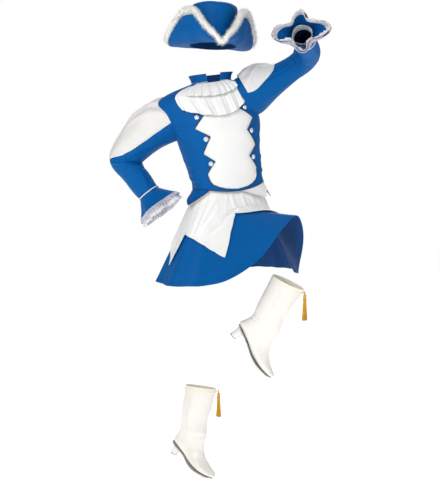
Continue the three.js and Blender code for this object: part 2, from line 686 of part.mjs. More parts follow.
// Three-cornered hat, built level round its own centre and then turned to its pose.
const crownSections = table('up wide deep height', [
  [0, 88, 104, 0], [1, 87, 102, 45], [2, 87, 101, 90], [3, 88, 101, 130], [4, 80, 92, 149], [5, 48, 56, 158], [6, 0, 0, 161],
]);
const crownAt = reader(crownSections);
const crown = (s, t) => {
  const row = crownAt(6 * t);
  return vec(row.wide * Math.cos(rad(360 * s)), row.deep * Math.sin(rad(360 * s)), row.height);
};
const crownColumns = steps(22).slice(0, -1);
const crownRows = steps(6);
const shellRing = (surface, by) => crownRows.map((t) => crownColumns.map((s) => {
  const p = surface(s, t);
  const scale = (by + 92) / 92;
  return vec(p.x * scale, p.y * scale, p.z + (t > 0.5 ? by : 0));
}));
const brim = (s, t) => {
  const angle = 360 * s;
  const corner = ((1 + Math.cos(rad(3 * (angle - 270)))) / 2) ** 1.5;
  const front = Math.max(0, -Math.sin(rad(angle))) ** 4;
  const out = lerp(36, 88, corner);
  const rise = lerp(96, 4 - 10 * front, corner);
  const foot = 1 - 0.65 / brimBase;
  const base = vec(88 * foot * Math.cos(rad(angle)), 104 * foot * Math.sin(rad(angle)), 4);
  const away = vec(Math.cos(rad(angle)), Math.sin(rad(angle)), 0);
  const bend = 2 * t * (1 - t);
  return base.addScaledVector(away, out * (bend + t * t)).add(vec(0, 0, rise * t * t - 5 * bend));
};
const hat = new THREE.Group();
const brimColumns = steps(39).slice(0, -1);
const brimGrid = (by) => steps(3).map((t) => brimColumns.map((s) => moved(brim, s, Math.max(t, 0.02), by)));
const furPath = (s, t) => {
  const edge = brim(s, 1);
  const outwards = edge.clone().sub(brim(s, 0.9)).normalize();
  const across = normalAt(brim, s, 0.98);
  const round = rad(360 * t);
  return edge.addScaledVector(outwards, furRadius + 2.6 + furRadius * Math.cos(round))
    .addScaledVector(across, furRadius * Math.sin(round));
};
group.add(hat);
hat.rotation.set(rad(hatTilt), rad(hatRoll), rad(hatYaw));
hat.position.set(...hatCentre);
hat.add(add('hat_crown', wall(shellRing(crown, 0), shellRing(crown, -cloth), true), 'blue'));
hat.add(add('hat_brim', wall(brimGrid(cloth), brimGrid(0), true), 'blue'));
hat.add(add('hat_fur', torusOf(furPath, 42, 6), 'fur'));

// Boots: a section is the line from the back of the boot (or its sole) to its front (or its top).
// Bend says how far the section goes with the shaft when the boot bends.
const bootSections = table('place backX backZ frontX frontZ half bend', [
  [0, -60, 282, 62, 292, 55, 1],
  [1, -58, 240, 60, 246, 54, 1],
  [2, -56, 195, 57, 203, 52, 1],
  [3, -53, 152, 55, 164, 47, 0.95],
  [4, -53, 112, 60, 134, 42, 0.5],
  [5, -59, 80, 66, 104, 36, 0.12],
  [6, -62, 52, 76, 81, 34, 0],
  [7, -34, 42, 88, 67, 33, 0],
  [8, 4, 32, 101, 55, 34, 0],
  [9, 46, 16, 118, 44, 37, 0],
  [10, 88, 8, 140, 35, 36, 0],
  [11, 128, 8, 162, 28, 25, 0],
  [12, 146, 10, 169, 22, 12, 0],
  [13, 158, 14, 170, 18, 0, 0],
]);
const anklePivot = vec(0, 0, 100);

function bootSurface(flex) {
  const at = reader(bootSections);
  return (s, t) => {
    const row = at(13 * t);
    const bend = rad(flex * row.bend);
    const turnPoint = (x, z) => vec(x, 0, z).sub(anklePivot).applyAxisAngle(vec(0, 1, 0), bend).add(anklePivot);
    const first = turnPoint(row.backX, row.backZ);
    const last = turnPoint(row.frontX, row.frontZ);
    const turn = rad(-360 * s);
    const middle = first.clone().add(last).multiplyScalar(0.5);
    const reach = last.clone().sub(first).multiplyScalar(0.5);
    return middle.addScaledVector(reach, Math.cos(turn)).add(vec(0, row.half * Math.sin(turn), 0));
  };
}

// The shaft and the vamp are two pieces of leather, sewn together round the ankle.
const shaftRows = steps(13).slice(0, 7);
const vampRows = [6.02 / 13, ...steps(13).slice(7)];
function bootWall(surface, rows) {
  const columns = steps(13).slice(0, -1);
  const inset = (by) => rows.map((t) => columns.map((s) => {
    if (t === 1) return surface(0, 1).addScaledVector(vec(1, 0, 0), -by * 2);
    return moved(surface, s, Math.max(t, 1e-3), -by);
  }));
  return wall(inset(0), inset(leather), true);
}

// The sole follows the upper's underside, and the heel stands under its back.
const solePlaces = table('x z half', [
  [-58, 49.5, 20], [-40, 43.5, 26], [-12, 36.3, 25], [20, 26, 25], [52, 14.4, 33], [88, 7.6, 36], [120, 7.6, 30], [146, 9.4, 19],
  [160, 13.6, 6],
]);
const soleThickness = 4;
const soleGap = 0.3;
const soleAt = reader(solePlaces, 'straight');
function soleWall() {
  const grids = [0, -soleThickness].map((drop) => solePlaces.map(({ x, z, half }) =>
    [-1, -0.5, 0, 0.5, 1].map((side) => vec(x, half * side, z + drop - soleGap))));
  return wall(grids[0], grids[1], false);
}
function heelWall() {
  const under = (x) => soleAt(x).z - soleThickness - soleGap - 0.6;
  const outline = (middle, half, height) => Array.from({ length: 12 }, (_, i) => {
    const turn = rad(30 * i);
    const x = middle + Math.cos(turn) * half * 0.95;
    return vec(x, Math.sin(turn) * half, height(x));
  });
  const top = outline(-36, 21, under);
  const foot = outline(-40, 15, () => 0);
  const tip = (row, x, z) => row.map(() => vec(x, 0, z));
  const rings = [tip(foot, -40, 0), foot, top, tip(top, -36, under(-36))];
  const positions = [];
  for (let j = 0; j < 3; j += 1) {
    for (let i = 0; i < 12; i += 1) {
      const k = (i + 1) % 12;
      for (const p of [rings[j][i], rings[j][k], rings[j + 1][k], rings[j][i], rings[j + 1][k], rings[j + 1][i]]) {
        positions.push(p.x, p.y, p.z);
      }
    }
  }
  return tidy(positions);
}

// Tassel: a bound head with strands fused into it, hanging straight down.
const strandCount = 12;
const tasselLength = 92;
function tasselWall(toRim) {
  const head = new THREE.LatheGeometry([
    new THREE.Vector2(0, 14), new THREE.Vector2(2.2, 13), new THREE.Vector2(2.2, 2), new THREE.Vector2(6, -2),
    new THREE.Vector2(5.5, -14), new THREE.Vector2(7, -20), new THREE.Vector2(0, -20),
  ].reverse(), 10);
  head.rotateX(Math.PI / 2);
  head.deleteAttribute('normal');
  head.deleteAttribute('uv');
  const up = vec(0, 0, 11);
  const aside = toRim.clone().cross(vec(0, 0, 1)).normalize();
  const cord = [up, toRim].map((p) => [[1, 1], [-1, 1], [-1, -1], [1, -1]].map(([a, b]) =>
    p.clone().addScaledVector(aside, 1.2 * a).add(vec(0, 0, 1.2 * b))));
  let joined = solid(tidy(head.toNonIndexed().attributes.position.array)).add(solid(filledRows(cord)));
  for (let i = 0; i < strandCount; i += 1) {
    const turn = (2 * Math.PI * i) / strandCount;
    const ring = i % 2 ? 0.5 : 1;
    const rows = [[-16, 3.6 * ring, 1.7], [-tasselLength + 3 * (i % 3), 9.5 * ring, 2]].map(([z, r, w]) =>
      [0, 1, 2].map((k) => vec(
        r * Math.cos(turn) + w * Math.cos(turn + (k * 2 * Math.PI) / 3),
        r * Math.sin(turn) + w * Math.sin(turn + (k * 2 * Math.PI) / 3),
        z,
      )));
    const box = filledRows(rows);
    joined = joined.add(solid(box));
  }
  return geometryOf(joined);
}

function filledRows(rings) {
  const middle = (row) => row.reduce((sum, p) => sum.add(p), vec(0, 0, 0)).divideScalar(row.length);
  const all = [rings[0].map(() => middle(rings[0])), ...rings, rings[rings.length - 1].map(() => middle(rings[rings.length - 1]))];
  const positions = [];
  for (let j = 0; j < all.length - 1; j += 1) {
    for (let i = 0; i < rings[0].length; i += 1) {
      const k = (i + 1) % rings[0].length;
      for (const p of [all[j][i], all[j][k], all[j + 1][k], all[j][i], all[j + 1][k], all[j + 1][i]]) {
        positions.push(p.x, p.y, p.z);
      }
    }
  }
  return tidy(positions);
}

for (const [name, place] of [['right', standingBoot], ['left', raisedBoot]]) {
  const boot = new THREE.Group();
  const surface = bootSurface(place.flex);
  boot.rotation.set(rad(place.roll), rad(-place.pitch), rad(place.turn), 'ZYX');
  boot.position.set(place.x, place.y, place.z);
  boot.add(add(`boot_${name}`, bootWall(surface, shaftRows), 'leather'));
  boot.add(add(`boot_vamp_${name}`, bootWall(surface, vampRows), 'leather'));
  boot.add(add(`boot_sole_${name}`, soleWall(), 'leather'));
  boot.add(add(`boot_heel_${name}`, heelWall(), 'leather'));
  group.add(boot);
  boot.updateMatrixWorld(true);
  const rimAt = (by) => moved(surface, 1 - place.tasselAt / 360, 0.015, by).applyMatrix4(boot.matrixWorld);
  const rim = rimAt(13).add(vec(0, 0, place.tasselRise));
  const tassel = add(`tassel_${name}`, tasselWall(rimAt(place.cordEnd).sub(rim)), 'gold');
  tassel.position.copy(rim);
}

export default group;
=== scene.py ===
# Majorette costume: toothed jacket with bib, jabot and flared cuffs, pointed overskirt over a flared
# skirt, three-cornered hat and two ankle boots with tassels. Shapes are worked out in millimetres, as
# functions of two parameters on numpy grids, and put into meshes in metres. "Left" and "right" are the
# costume's own: the left sleeve, the left boot and that side of the skirt are raised.
import bpy
import math
import numpy as np
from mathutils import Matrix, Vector


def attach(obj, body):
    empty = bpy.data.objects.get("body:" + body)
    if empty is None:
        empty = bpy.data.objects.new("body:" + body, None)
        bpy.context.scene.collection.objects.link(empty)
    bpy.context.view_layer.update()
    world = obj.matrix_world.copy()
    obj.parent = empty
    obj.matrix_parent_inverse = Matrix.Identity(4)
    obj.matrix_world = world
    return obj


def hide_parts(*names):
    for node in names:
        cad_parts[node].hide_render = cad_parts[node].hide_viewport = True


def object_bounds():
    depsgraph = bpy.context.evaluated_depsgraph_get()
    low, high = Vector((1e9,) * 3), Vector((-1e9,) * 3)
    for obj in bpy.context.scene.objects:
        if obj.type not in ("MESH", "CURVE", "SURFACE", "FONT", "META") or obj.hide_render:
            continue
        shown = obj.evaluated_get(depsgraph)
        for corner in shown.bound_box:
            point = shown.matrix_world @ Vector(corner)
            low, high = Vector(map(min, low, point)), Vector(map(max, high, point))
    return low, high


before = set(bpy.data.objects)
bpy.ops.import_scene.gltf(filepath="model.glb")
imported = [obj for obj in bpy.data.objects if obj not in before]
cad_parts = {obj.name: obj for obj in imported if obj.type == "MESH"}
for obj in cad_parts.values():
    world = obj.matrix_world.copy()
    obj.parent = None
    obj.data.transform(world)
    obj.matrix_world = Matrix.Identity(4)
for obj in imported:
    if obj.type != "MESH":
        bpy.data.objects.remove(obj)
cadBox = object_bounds()
print("frame loaded,", len(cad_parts), "solids")

mm = 0.001

# Camera, floor and light.

view = {
    "target": (30.4, 0.0, -562.4),   # mm, the middle of the picture
    "distance": 4000.0,              # mm
    "elevation": 5.0,                # degrees above the horizon
    "pictureHeight": 1824.0,         # mm at the target, over 480 pixels
    "sensor": 36.0,                  # mm
}
cameraData = bpy.data.cameras.new("camera")
camera = bpy.data.objects.new("camera", cameraData)
bpy.context.scene.collection.objects.link(camera)
bpy.context.scene.camera = camera
cameraData.sensor_width = view["sensor"]
cameraData.lens = view["sensor"] * view["distance"] / view["pictureHeight"]
cameraData.clip_start, cameraData.clip_end = 0.1, 60.0
tilt, away, (x, y, z) = math.radians(view["elevation"]), view["distance"], view["target"]
camera.location = (x * mm, (y - away * math.cos(tilt)) * mm, (z + away * math.sin(tilt)) * mm)
camera.rotation_euler = (math.pi / 2 - tilt, 0.0, 0.0)

studio = {
    "floor": "#F9F9F8",
    "floorGlow": 0.64,               # the pale floor's own light, as from a lit table
    "backdrop": "#FFFFFF",
    "ambient": 0.4,                  # soft light from all round
    "lampTarget": (0.03, 0.0, -0.45),   # m
    # Each soft lamp: its place and width in metres, and its watts. The key is up on the viewer's left.
    "lamps": {
        "key": ((-1.5, -3.5, 1.9), 2.0, 98.0),
        "fill": ((2.6, -2.8, 0.6), 2.4, 16.0),
        "rim": ((0.8, 2.6, 1.8), 1.8, 40.0),
    },
}


def linear(code):
    # sRGB hex to linear: c/12.92 under 0.04045, else ((c + 0.055) / 1.055) ^ 2.4.
    parts = [int(code[i:i + 2], 16) / 255 for i in (1, 3, 5)]
    return tuple(c / 12.92 if c <= 0.04045 else ((c + 0.055) / 1.055) ** 2.4 for c in parts) + (1.0,)


def addNode(tree, kind, inputs=None, **settings):
    # Adds one node. Settings are its own; each input is a value, or the socket that feeds it.
    node = tree.nodes.new(kind)
    for key, value in settings.items():
        setattr(node, key, value)
    for key, value in (inputs or {}).items():
        if isinstance(value, bpy.types.NodeSocket):
            tree.links.new(value, node.inputs[key])
        else:
            node.inputs[key].default_value = value
    return node


def newMaterial(name):
    # An empty material: its tree and its output node.
    material = bpy.data.materials.new(name)
    material.use_nodes = True
    material.node_tree.nodes.clear()
    return material, material.node_tree, material.node_tree.nodes.new("ShaderNodeOutputMaterial")


def shaded(tree, out, inputs):
    # The one shader of a material, joined to its output node.
    shader = addNode(tree, "ShaderNodeBsdfPrincipled", inputs)
    tree.links.new(shader.outputs[0], out.inputs["Surface"])


def softLight(name, location, size, power):
    # A square lamp that faces the middle of the costume.
    data = bpy.data.lights.new(name, "AREA")
    data.energy, data.size = power, size
    lamp = bpy.data.objects.new(name, data)
    lamp.location = location
    facing = Vector(studio["lampTarget"]) - Vector(location)
    lamp.rotation_euler = facing.to_track_quat("-Z", "Y").to_euler()
    bpy.context.scene.collection.objects.link(lamp)


world = bpy.data.worlds.new("studio")
world.use_nodes = True
# The backdrop is white to the eye, and lights the costume more softly than that.
sight = addNode(world.node_tree, "ShaderNodeLightPath")
glow = addNode(world.node_tree, "ShaderNodeMapRange", {
    "Value": sight.outputs["Is Camera Ray"], "To Min": studio["ambient"], "To Max": 1.0,
})
backdrop = world.node_tree.nodes["Background"]
backdrop.inputs["Color"].default_value = linear(studio["backdrop"])
world.node_tree.links.new(glow.outputs[0], backdrop.inputs["Strength"])
bpy.context.scene.world = world
bpy.context.scene.view_settings.view_transform = "Standard"
for name, lamp in studio["lamps"].items():
    softLight(name, *lamp)

floorZ = cadBox[0][2] - 0.002
floorMesh = bpy.data.meshes.new("floor")
corners = [(x, y, floorZ) for x, y in ((-9, -9), (9, -9), (9, 9), (-9, 9))]
floorMesh.from_pydata(corners, [], [(0, 1, 2, 3)])
floor = bpy.data.objects.new("floor", floorMesh)
bpy.context.scene.collection.objects.link(floor)
paleFloor, tree, out = newMaterial("paleStudioFloor")
shaded(tree, out, {
    "Base Color": linear(studio["floor"]), "Roughness": 0.9,
    "Emission Color": linear(studio["floor"]), "Emission Strength": studio["floorGlow"],
})
floorMesh.materials.append(paleFloor)
print("camera, floor and lights")

# Materials.


def noise(tree, vector, sizeMm, detail, roughness):
    # A smooth noise whose lumps are sizeMm wide.
    return addNode(tree, "ShaderNodeTexNoise", {
        "Vector": vector, "Scale": 1 / (sizeMm * mm), "Detail": detail, "Roughness": roughness,
    }).outputs["Fac"]


def span(tree, value, low, high):
    # A value from 0 to 1 carried to low to high.
    return addNode(tree, "ShaderNodeMapRange", {"Value": value, "To Min": low, "To Max": high}).outputs[0]


def mixed(tree, factor, first, second, blend="MIX"):
    # Two colours, mixed by a factor.
    return addNode(tree, "ShaderNodeMix", {0: factor, "A": first, "B": second},
                   data_type="RGBA", blend_type=blend).outputs["Result"]


def clothMaterial(name, colour, shade, roughness, sheen, threadMm, weave, mottleMm, specular, twill):
    # A woven cloth on the piece's own UV map, which is in metres. Two crossed waves of the thread's
    # spacing make the weave, a slow noise moves the colour between its two hex values.
    material, tree, out = newMaterial(name)
    uv = addNode(tree, "ShaderNodeUVMap", uv_map="cloth")
    turn = addNode(tree, "ShaderNodeMapping", {
        "Vector": uv.outputs[0], "Rotation": (0, 0, math.radians(twill)),
    })
    # The texture at scale 1 has 20 / (2 pi) waves to a metre, and each wave is two threads.
    warp, weft = (addNode(tree, "ShaderNodeTexWave", {
        "Vector": turn.outputs[0], "Scale": math.pi / (20 * threadMm * mm), "Distortion": 0.6, "Detail": 1.0,
        "Detail Scale": 0.6,
    }, bands_direction=way).outputs["Color"] for way in "XY")
    crossed = addNode(tree, "ShaderNodeMath", {0: warp, 1: weft}, operation="MULTIPLY").outputs[0]
    place = addNode(tree, "ShaderNodeTexCoord").outputs["Object"]
    slub = noise(tree, turn.outputs[0], threadMm * 6, 3.0, 0.55)
    colours = mixed(tree, noise(tree, place, mottleMm, 4.0, 0.6), linear(colour), linear(shade))
    bump = addNode(tree, "ShaderNodeBump", {"Height": crossed, "Strength": weave, "Distance": 0.0003})
    slubBump = addNode(tree, "ShaderNodeBump", {
        "Height": slub, "Strength": 0.25, "Distance": 0.0006, "Normal": bump.outputs[0],
    })
    shaded(tree, out, {
        "Base Color": mixed(tree, 1.0, colours, span(tree, crossed, 1.0 - 0.25 * weave, 1.0), "MULTIPLY"),
        "Roughness": span(tree, slub, roughness - 0.07, roughness + 0.07), "Normal": slubBump.outputs[0],
        "Sheen Weight": sheen, "Sheen Roughness": 0.4, "Specular IOR Level": specular, "IOR": 1.5,
    })
    return material


# Each cloth: its two colours, roughness and sheen, the width of its threads in mm and the strength of their
# relief, the size of its mottle in mm, its specular level, and the angle of the threads in degrees.
clothLooks = {
    # Polyester satin: smooth float threads, so a broad soft highlight. Threads are really 0.2 mm apart and
    # are drawn at 1.1 mm, the finest that shows.
    "blueSatin": ("#005DA4", "#005396", 0.52, 0.0, 1.1, 0.25, 60, 0.08, 4),
    # The reverse of the blue satin for the inside faces: its matt finish is real, its darker blue is painted
    # shade.
    "blueSatinReverse": ("#08437F", "#073A70", 0.75, 0.03, 1.1, 0.4, 60, 0.15, 0),
    # White satin of the same weave: bright, with a little more gloss on the folds.
    "whiteSatin": ("#F3F3F1", "#EAEAE9", 0.45, 0.1, 1.1, 0.2, 70, 0.4, 4),
    # Gathered white satin of the sleeve insets: a thinner cloth, painted greyer than the white satin as
    # shade of its gathers.
    "gatheredSatin": ("#E4E3E0", "#D9D8D6", 0.45, 0.05, 1.1, 0.2, 50, 0.35, 4),
    # Piping cord: bias-cut cotton, matt, threads across it at 45 degrees.
    "navyCottonPiping": ("#20233F", "#171A30", 0.7, 0.2, 1.4, 0.5, 20, 0.3, 45),
    "whiteCottonPiping": ("#F4F3F0", "#E6E5E2", 0.65, 0.2, 1.4, 0.5, 20, 0.3, 45),
    # Machine lace: cotton and lurex threads, pale lavender silver.
    "whiteMachineLace": ("#F7F6F8", "#E4E2EA", 0.6, 0.2, 1.6, 0.6, 12, 0.4, 0),
    "silverLurexLace": ("#CFCDDB", "#B9B7C9", 0.4, 0.1, 1.6, 0.7, 8, 0.7, 0),
    # Rayon thread wound and hanging: bright along each strand.
    "goldRayonThread": ("#EDB426", "#CF941A", 0.38, 0.1, 1.2, 0.6, 6, 0.6, 35),
    "bluePolyesterThread": ("#0A4E94", "#08407C", 0.5, 0.1, 0.8, 0.3, 10, 0.4, 0),
    "whitePolyesterThread": ("#E9E9EC", "#DADAE0", 0.5, 0.1, 0.8, 0.3, 10, 0.4, 0),
}
# The reverse's darker blue, used on every inside face of the blue cloth, is painted shade.
(blueSatin, blueLiningPaintedShade, whiteSatin, gatheredSatin, navyPiping, whitePiping, whiteLace, silverLace,
 goldThread, blueThread, whiteThread) = (clothMaterial(name, *look) for name, look in clothLooks.items())


def plainSolid(name, colour, shade, roughness, grainMm, grain, sizeMm, coat, metallic):
    # A coated or moulded surface on Object coordinates: cell grain in the bump, slow noise in colour and
    # gloss.
    material, tree, out = newMaterial(name)
    place = addNode(tree, "ShaderNodeTexCoord").outputs["Object"]
    cells = addNode(tree, "ShaderNodeTexVoronoi", {
        "Vector": place, "Scale": 1 / (grainMm * mm), "Randomness": 0.9,
    }, feature="SMOOTH_F1").outputs["Distance"]
    slow = noise(tree, place, sizeMm, 5.0, 0.6)
    bump = addNode(tree, "ShaderNodeBump", {"Height": cells, "Strength": grain, "Distance": 0.0004})
    shaded(tree, out, {
        "Base Color": mixed(tree, slow, linear(colour), linear(shade)), "Normal": bump.outputs[0],
        "Roughness": span(tree, slow, roughness - 0.06, roughness + 0.08),
        "Metallic": metallic, "Coat Weight": coat, "Coat Roughness": 0.15,
    })
    return material


# Each solid: its two colours, roughness, the size of its grain in mm and the grain's strength, the size
# of its mottle in mm, its clear coat and how metallic it is.
solidLooks = {
    # Leatherette: vinyl-coated cloth with a fine pebble grain and a thin glossy skin.
    "whiteLeatherette": ("#F0EDE8", "#E6E2DB", 0.36, 1.6, 0.22, 45, 0.25, 0.0),
    "creamBindingTape": ("#F3EEDF", "#E9E1CC", 0.6, 1.2, 0.4, 15, 0.0, 0.0),
    "greySoleRubber": ("#B4B3AF", "#A3A29E", 0.6, 1.0, 0.3, 12, 0.0, 0.0),
    "coveredHeel": ("#EFEDE8", "#DDDAD4", 0.35, 1.6, 0.2, 20, 0.2, 0.0),
    # Acrylic pearl buttons with a silver tone.
    "silverPearlAcrylic": ("#E4E5EA", "#C4C6CE", 0.22, 3.0, 0.08, 6, 0.6, 0.35),
    # Dyed marabou down: very matt, bright at the tips.
    "whiteMarabouDown": ("#FCFBF8", "#F1EFEA", 0.95, 2.0, 0.3, 25, 0.0, 0.0),
    # The boots' inside: greyer than the leatherette, as painted shade of the hollow.
    "bootInsidePaintedShade": ("#CFCBC4", "#BDB8AF", 0.9, 1.4, 0.5, 20, 0.0, 0.0),
}
bootVinyl, creamTrim, soleRubber, heelCover, pearl, marabou, bootInsideShade = (
    plainSolid(name, *look) for name, look in solidLooks.items())
print("materials")

# Small geometry helpers.

def rad(angle):
    return np.radians(angle)


def lerp(a, b, t):
    # From a at 0 to b at 1.
    return a + (b - a) * t


def around(count):
    # Even steps round a ring, which don't repeat its first.
    return np.linspace(0, 1, count + 1)[:-1]


def smoothStep(x):
    # 3 x^2 - 2 x^3 between 0 and 1.
    x = np.clip(x, 0.0, 1.0)
    return x * x * (3 - 2 * x)


def unit(v):
    # A vector over its own length.
    return v / np.maximum(np.linalg.norm(v, axis=-1, keepdims=True), 1e-12)


def vec(x, y, z):
    # Points from three coordinates of any matching shapes.
    return np.stack(np.broadcast_arrays(*(np.asarray(q, float) for q in (x, y, z))), axis=-1)


def circle(side, other, turn):
    # side * cos(turn) + other * sin(turn), for one or many turns.
    return side * np.cos(turn)[..., None] + other * np.sin(turn)[..., None]


def turnedAbout(axis, angle):
    # The rotation by an angle in degrees about axis 0, 1 or 2.
    matrix, i, j = np.eye(3), (axis + 1) % 3, (axis + 2) % 3
    matrix[i, i] = matrix[j, j] = math.cos(math.radians(angle))
    matrix[j, i] = math.sin(math.radians(angle))
    matrix[i, j] = -matrix[j, i]
    return matrix


def reader(rows, straight=False):
    # Columns of a table as functions of its first column: a cubic through the rows, or straight lines.
    rows = np.array(rows, float)
    at, values = rows[:, 0], rows[:, 1:]
    slope = np.diff(values, axis=0) / np.diff(at)[:, None]
    slopes = np.concatenate([slope[:1], slope[-1:]]) if len(at) == 2 else np.empty_like(values)
    if len(at) > 2:
        before, after = np.diff(at)[:-1, None], np.diff(at)[1:, None]
        slopes[0], slopes[-1] = slope[0], slope[-1]
        slopes[1:-1] = (slope[:-1] * after + slope[1:] * before) / (before + after)

    def read(x):
        x = np.asarray(x, float)
        i = np.clip(np.searchsorted(at, x, side="left") - 1, 0, len(at) - 2)
        h = (at[i + 1] - at[i])[..., None]
        t = (x - at[i])[..., None] / h
        y0, y1 = values[i], values[i + 1]
        if straight:
            return lerp(y0, y1, np.clip(t, 0, 1))
        return ((2 * t**3 - 3 * t**2 + 1) * y0 + (t**3 - 2 * t**2 + t) * slopes[i] * h
                + (-2 * t**3 + 3 * t**2) * y1 + (t**3 - t**2) * slopes[i + 1] * h)
    return read


def normalsOf(surface, s, t, e=1e-3):
    # Cross product of the surface's slopes along s and t, or the normal it brings from its carrier.
    if hasattr(surface, "normal"):
        return surface.normal(s, t)
    return unit(np.cross(surface(s + e, t) - surface(s - e, t), surface(s, t + e) - surface(s, t - e)))

def moved(surface, s, t, by):
    # The surface's points, carried off it along its normal.
    return surface(s, t) + normalsOf(surface, s, t) * np.asarray(by, float)[..., None]


def waves(u, v, size, seed, count=9):
    # Sum of plane waves in seeded directions, about -1 to 1; size is the wave length in the units of u
    # and v.
    rng = np.random.default_rng(seed)
    heading, phase = rng.uniform(0, 2 * np.pi, count), rng.uniform(0, 2 * np.pi, count)
    scale, total = rng.uniform(0.6, 1.6, count), 0.0
    for a, p, k in zip(heading, phase, scale):
        total = total + np.sin(2 * np.pi * k * (u * np.cos(a) + v * np.sin(a)) / size + p)
    return total / count**0.5 / 1.4


def creases(u, v, rows, wrap=None):
    # Soft folds along lines: height * (1 - d^2) * exp(-d^2) across the line, faded at its two ends.
    # Row: middle u, middle v, heading in degrees, length, width, height, and how much the line bows.
    total = 0.0
    for u0, v0, heading, length, width, height, bow in rows:
        du = u - u0
        if wrap:
            du = (du + wrap / 2) % wrap - wrap / 2
        c, s = math.cos(math.radians(heading)), math.sin(math.radians(heading))
        along, across = du * c + (v - v0) * s, (v - v0) * c - du * s
        d = (across + bow * (along / length) ** 2) / width
        total = total + height * (1 - 0.8 * d * d) * np.exp(-d * d) * np.exp(-((2 * along / length) ** 4))
    return total


def gridQuads(rows, cols, ringRows=False, ringCols=False):
    # Quads of a grid numbered row by row. A ring joins its last row or column to its first.
    j, i = np.meshgrid(np.arange(rows - (not ringRows)), np.arange(cols - (not ringCols)), indexing="ij")
    below, beside = (j + 1) % rows * cols, (i + 1) % cols
    return np.stack([j * cols + i, j * cols + beside, below + beside, below + i], axis=-1).reshape(-1, 4)


def closedRings(rings, first, last):
    # A row of rings closed by a fan of triangles onto a point at each end: points, quads and triangles.
    points = np.concatenate([rings.reshape(-1, 3), [first], [last]])
    rows, cols = rings.shape[:2]
    i, count = np.arange(cols), rows * cols
    k = (i + 1) % cols
    top, last = np.full(cols, count), count - cols
    caps = [np.stack([top, k, i], -1), np.stack([top + 1, i + last, k + last], -1)]
    return points, gridQuads(rows, cols, ringCols=True), np.concatenate(caps)


def dress(name, points, faces, material, replaced=(), uv=None, sharp=55, materials=(), groups=None):
    # One finished piece: a mesh in metres at the origin, faces turned out, riding on the root body.
    used = np.unique(np.concatenate([f.ravel() for f in faces]))
    renumber = np.full(len(points), -1)
    renumber[used] = np.arange(len(used))
    faces = [renumber[f] for f in faces]
    points = points[used]
    volume = 0.0
    for f in faces:
        for k in range(1, f.shape[1] - 1):
            a, b, c = points[f[:, 0]], points[f[:, k]], points[f[:, k + 1]]
            volume += np.einsum("ij,ij->", a, np.cross(b, c))
    if volume < 0:
        faces = [f[:, ::-1] for f in faces]
        uv = None if uv is None else [q[:, ::-1] for q in uv]
    mesh = bpy.data.meshes.new(name)
    mesh.vertices.add(len(points))
    mesh.vertices.foreach_set("co", (points * mm).astype(np.float32).ravel())
    loops = np.concatenate([f.ravel() for f in faces]).astype(np.int32)
    sizes = np.concatenate([np.full(len(f), f.shape[1]) for f in faces])
    mesh.loops.add(len(loops))
    mesh.loops.foreach_set("vertex_index", loops)
    mesh.polygons.add(len(sizes))
    mesh.polygons.foreach_set("loop_start", np.concatenate([[0], np.cumsum(sizes)[:-1]]).astype(np.int32))
    mesh.update(calc_edges=True)
    mesh.polygons.foreach_set("use_smooth", np.ones(len(sizes), bool))
    layer = mesh.uv_layers.new(name="cloth")
    if uv is None:
        spread = (points[loops][:, :2] + points[loops][:, 2:]) * mm
    else:
        spread = np.concatenate([q.reshape(-1, 2) for q in uv]) * mm
    layer.data.foreach_set("uv", spread.astype(np.float32).ravel())
    mesh.set_sharp_from_angle(angle=math.radians(sharp))
    for m in (material, *materials):
        mesh.materials.append(m)
    if groups is not None:
        mesh.polygons.foreach_set("material_index", groups.astype(np.int32))
    mesh.update()
    piece = bpy.data.objects.new(name, mesh)
    bpy.context.scene.collection.objects.link(piece)
    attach(piece, "root")
    if replaced:
        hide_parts(*replaced)
    return piece


def sew(name, walls, cloth, nodes=None, ring=False, keep=None, lining=None):
    # Cells that keep leaves out become openings, and every open edge gets a rim. The UV map is the
    # cloth's own width and length in metres. It takes the place of the node with its name less the last
    # word, or of the nodes given.
    outer, inner = walls
    rows, cols = outer.shape[:2]
    count, wide = rows * cols, cols if ring else cols - 1
    keep = keep(outer) if callable(keep) else keep
    kept = np.ones(wide * (rows - 1), bool) if keep is None else keep.ravel()
    quads = gridQuads(rows, cols, ringCols=ring)[kept]
    middle = (outer + inner) / 2
    across = np.linalg.norm(np.diff(np.concatenate([middle, middle[:, :1]], axis=1), axis=1), axis=-1)
    down = np.linalg.norm(np.diff(middle, axis=0), axis=-1)
    u, v = (np.concatenate([[0], np.cumsum(steps)]) for steps in (across.mean(0), down.mean(1)))
    places = np.stack(np.meshgrid(u[:wide + 1], v), -1)
    uv = np.stack([places[:-1, :-1], places[:-1, 1:], places[1:, 1:], places[1:, :-1]], 2)
    uv = uv.reshape(-1, 4, 2)[kept]
    edges = np.concatenate([quads[:, [k, (k + 1) % 4]] for k in range(4)])
    ends = np.concatenate([uv[:, [k, (k + 1) % 4]] for k in range(4)])
    bare = ~np.isin(edges[:, 0] * count + edges[:, 1], edges[:, 1] * count + edges[:, 0])
    rim = np.stack([edges[bare, 1], edges[bare, 0], edges[bare, 0] + count, edges[bare, 1] + count], axis=-1)
    faces = [np.concatenate([quads, quads[:, ::-1] + count, rim])]
    maps = [np.concatenate([uv, uv[:, ::-1], ends[bare][:, [1, 0, 0, 1]]])]
    groups = np.repeat([0, 1, 0], [len(quads), len(quads), len(rim)]) if lining else None
    points = np.concatenate([outer.reshape(-1, 3), inner.reshape(-1, 3)])
    piece = dress(name, points, faces, cloth, nodes or [name.rsplit("_", 1)[0]], maps,
                  materials=(lining,) if lining else (), groups=groups)


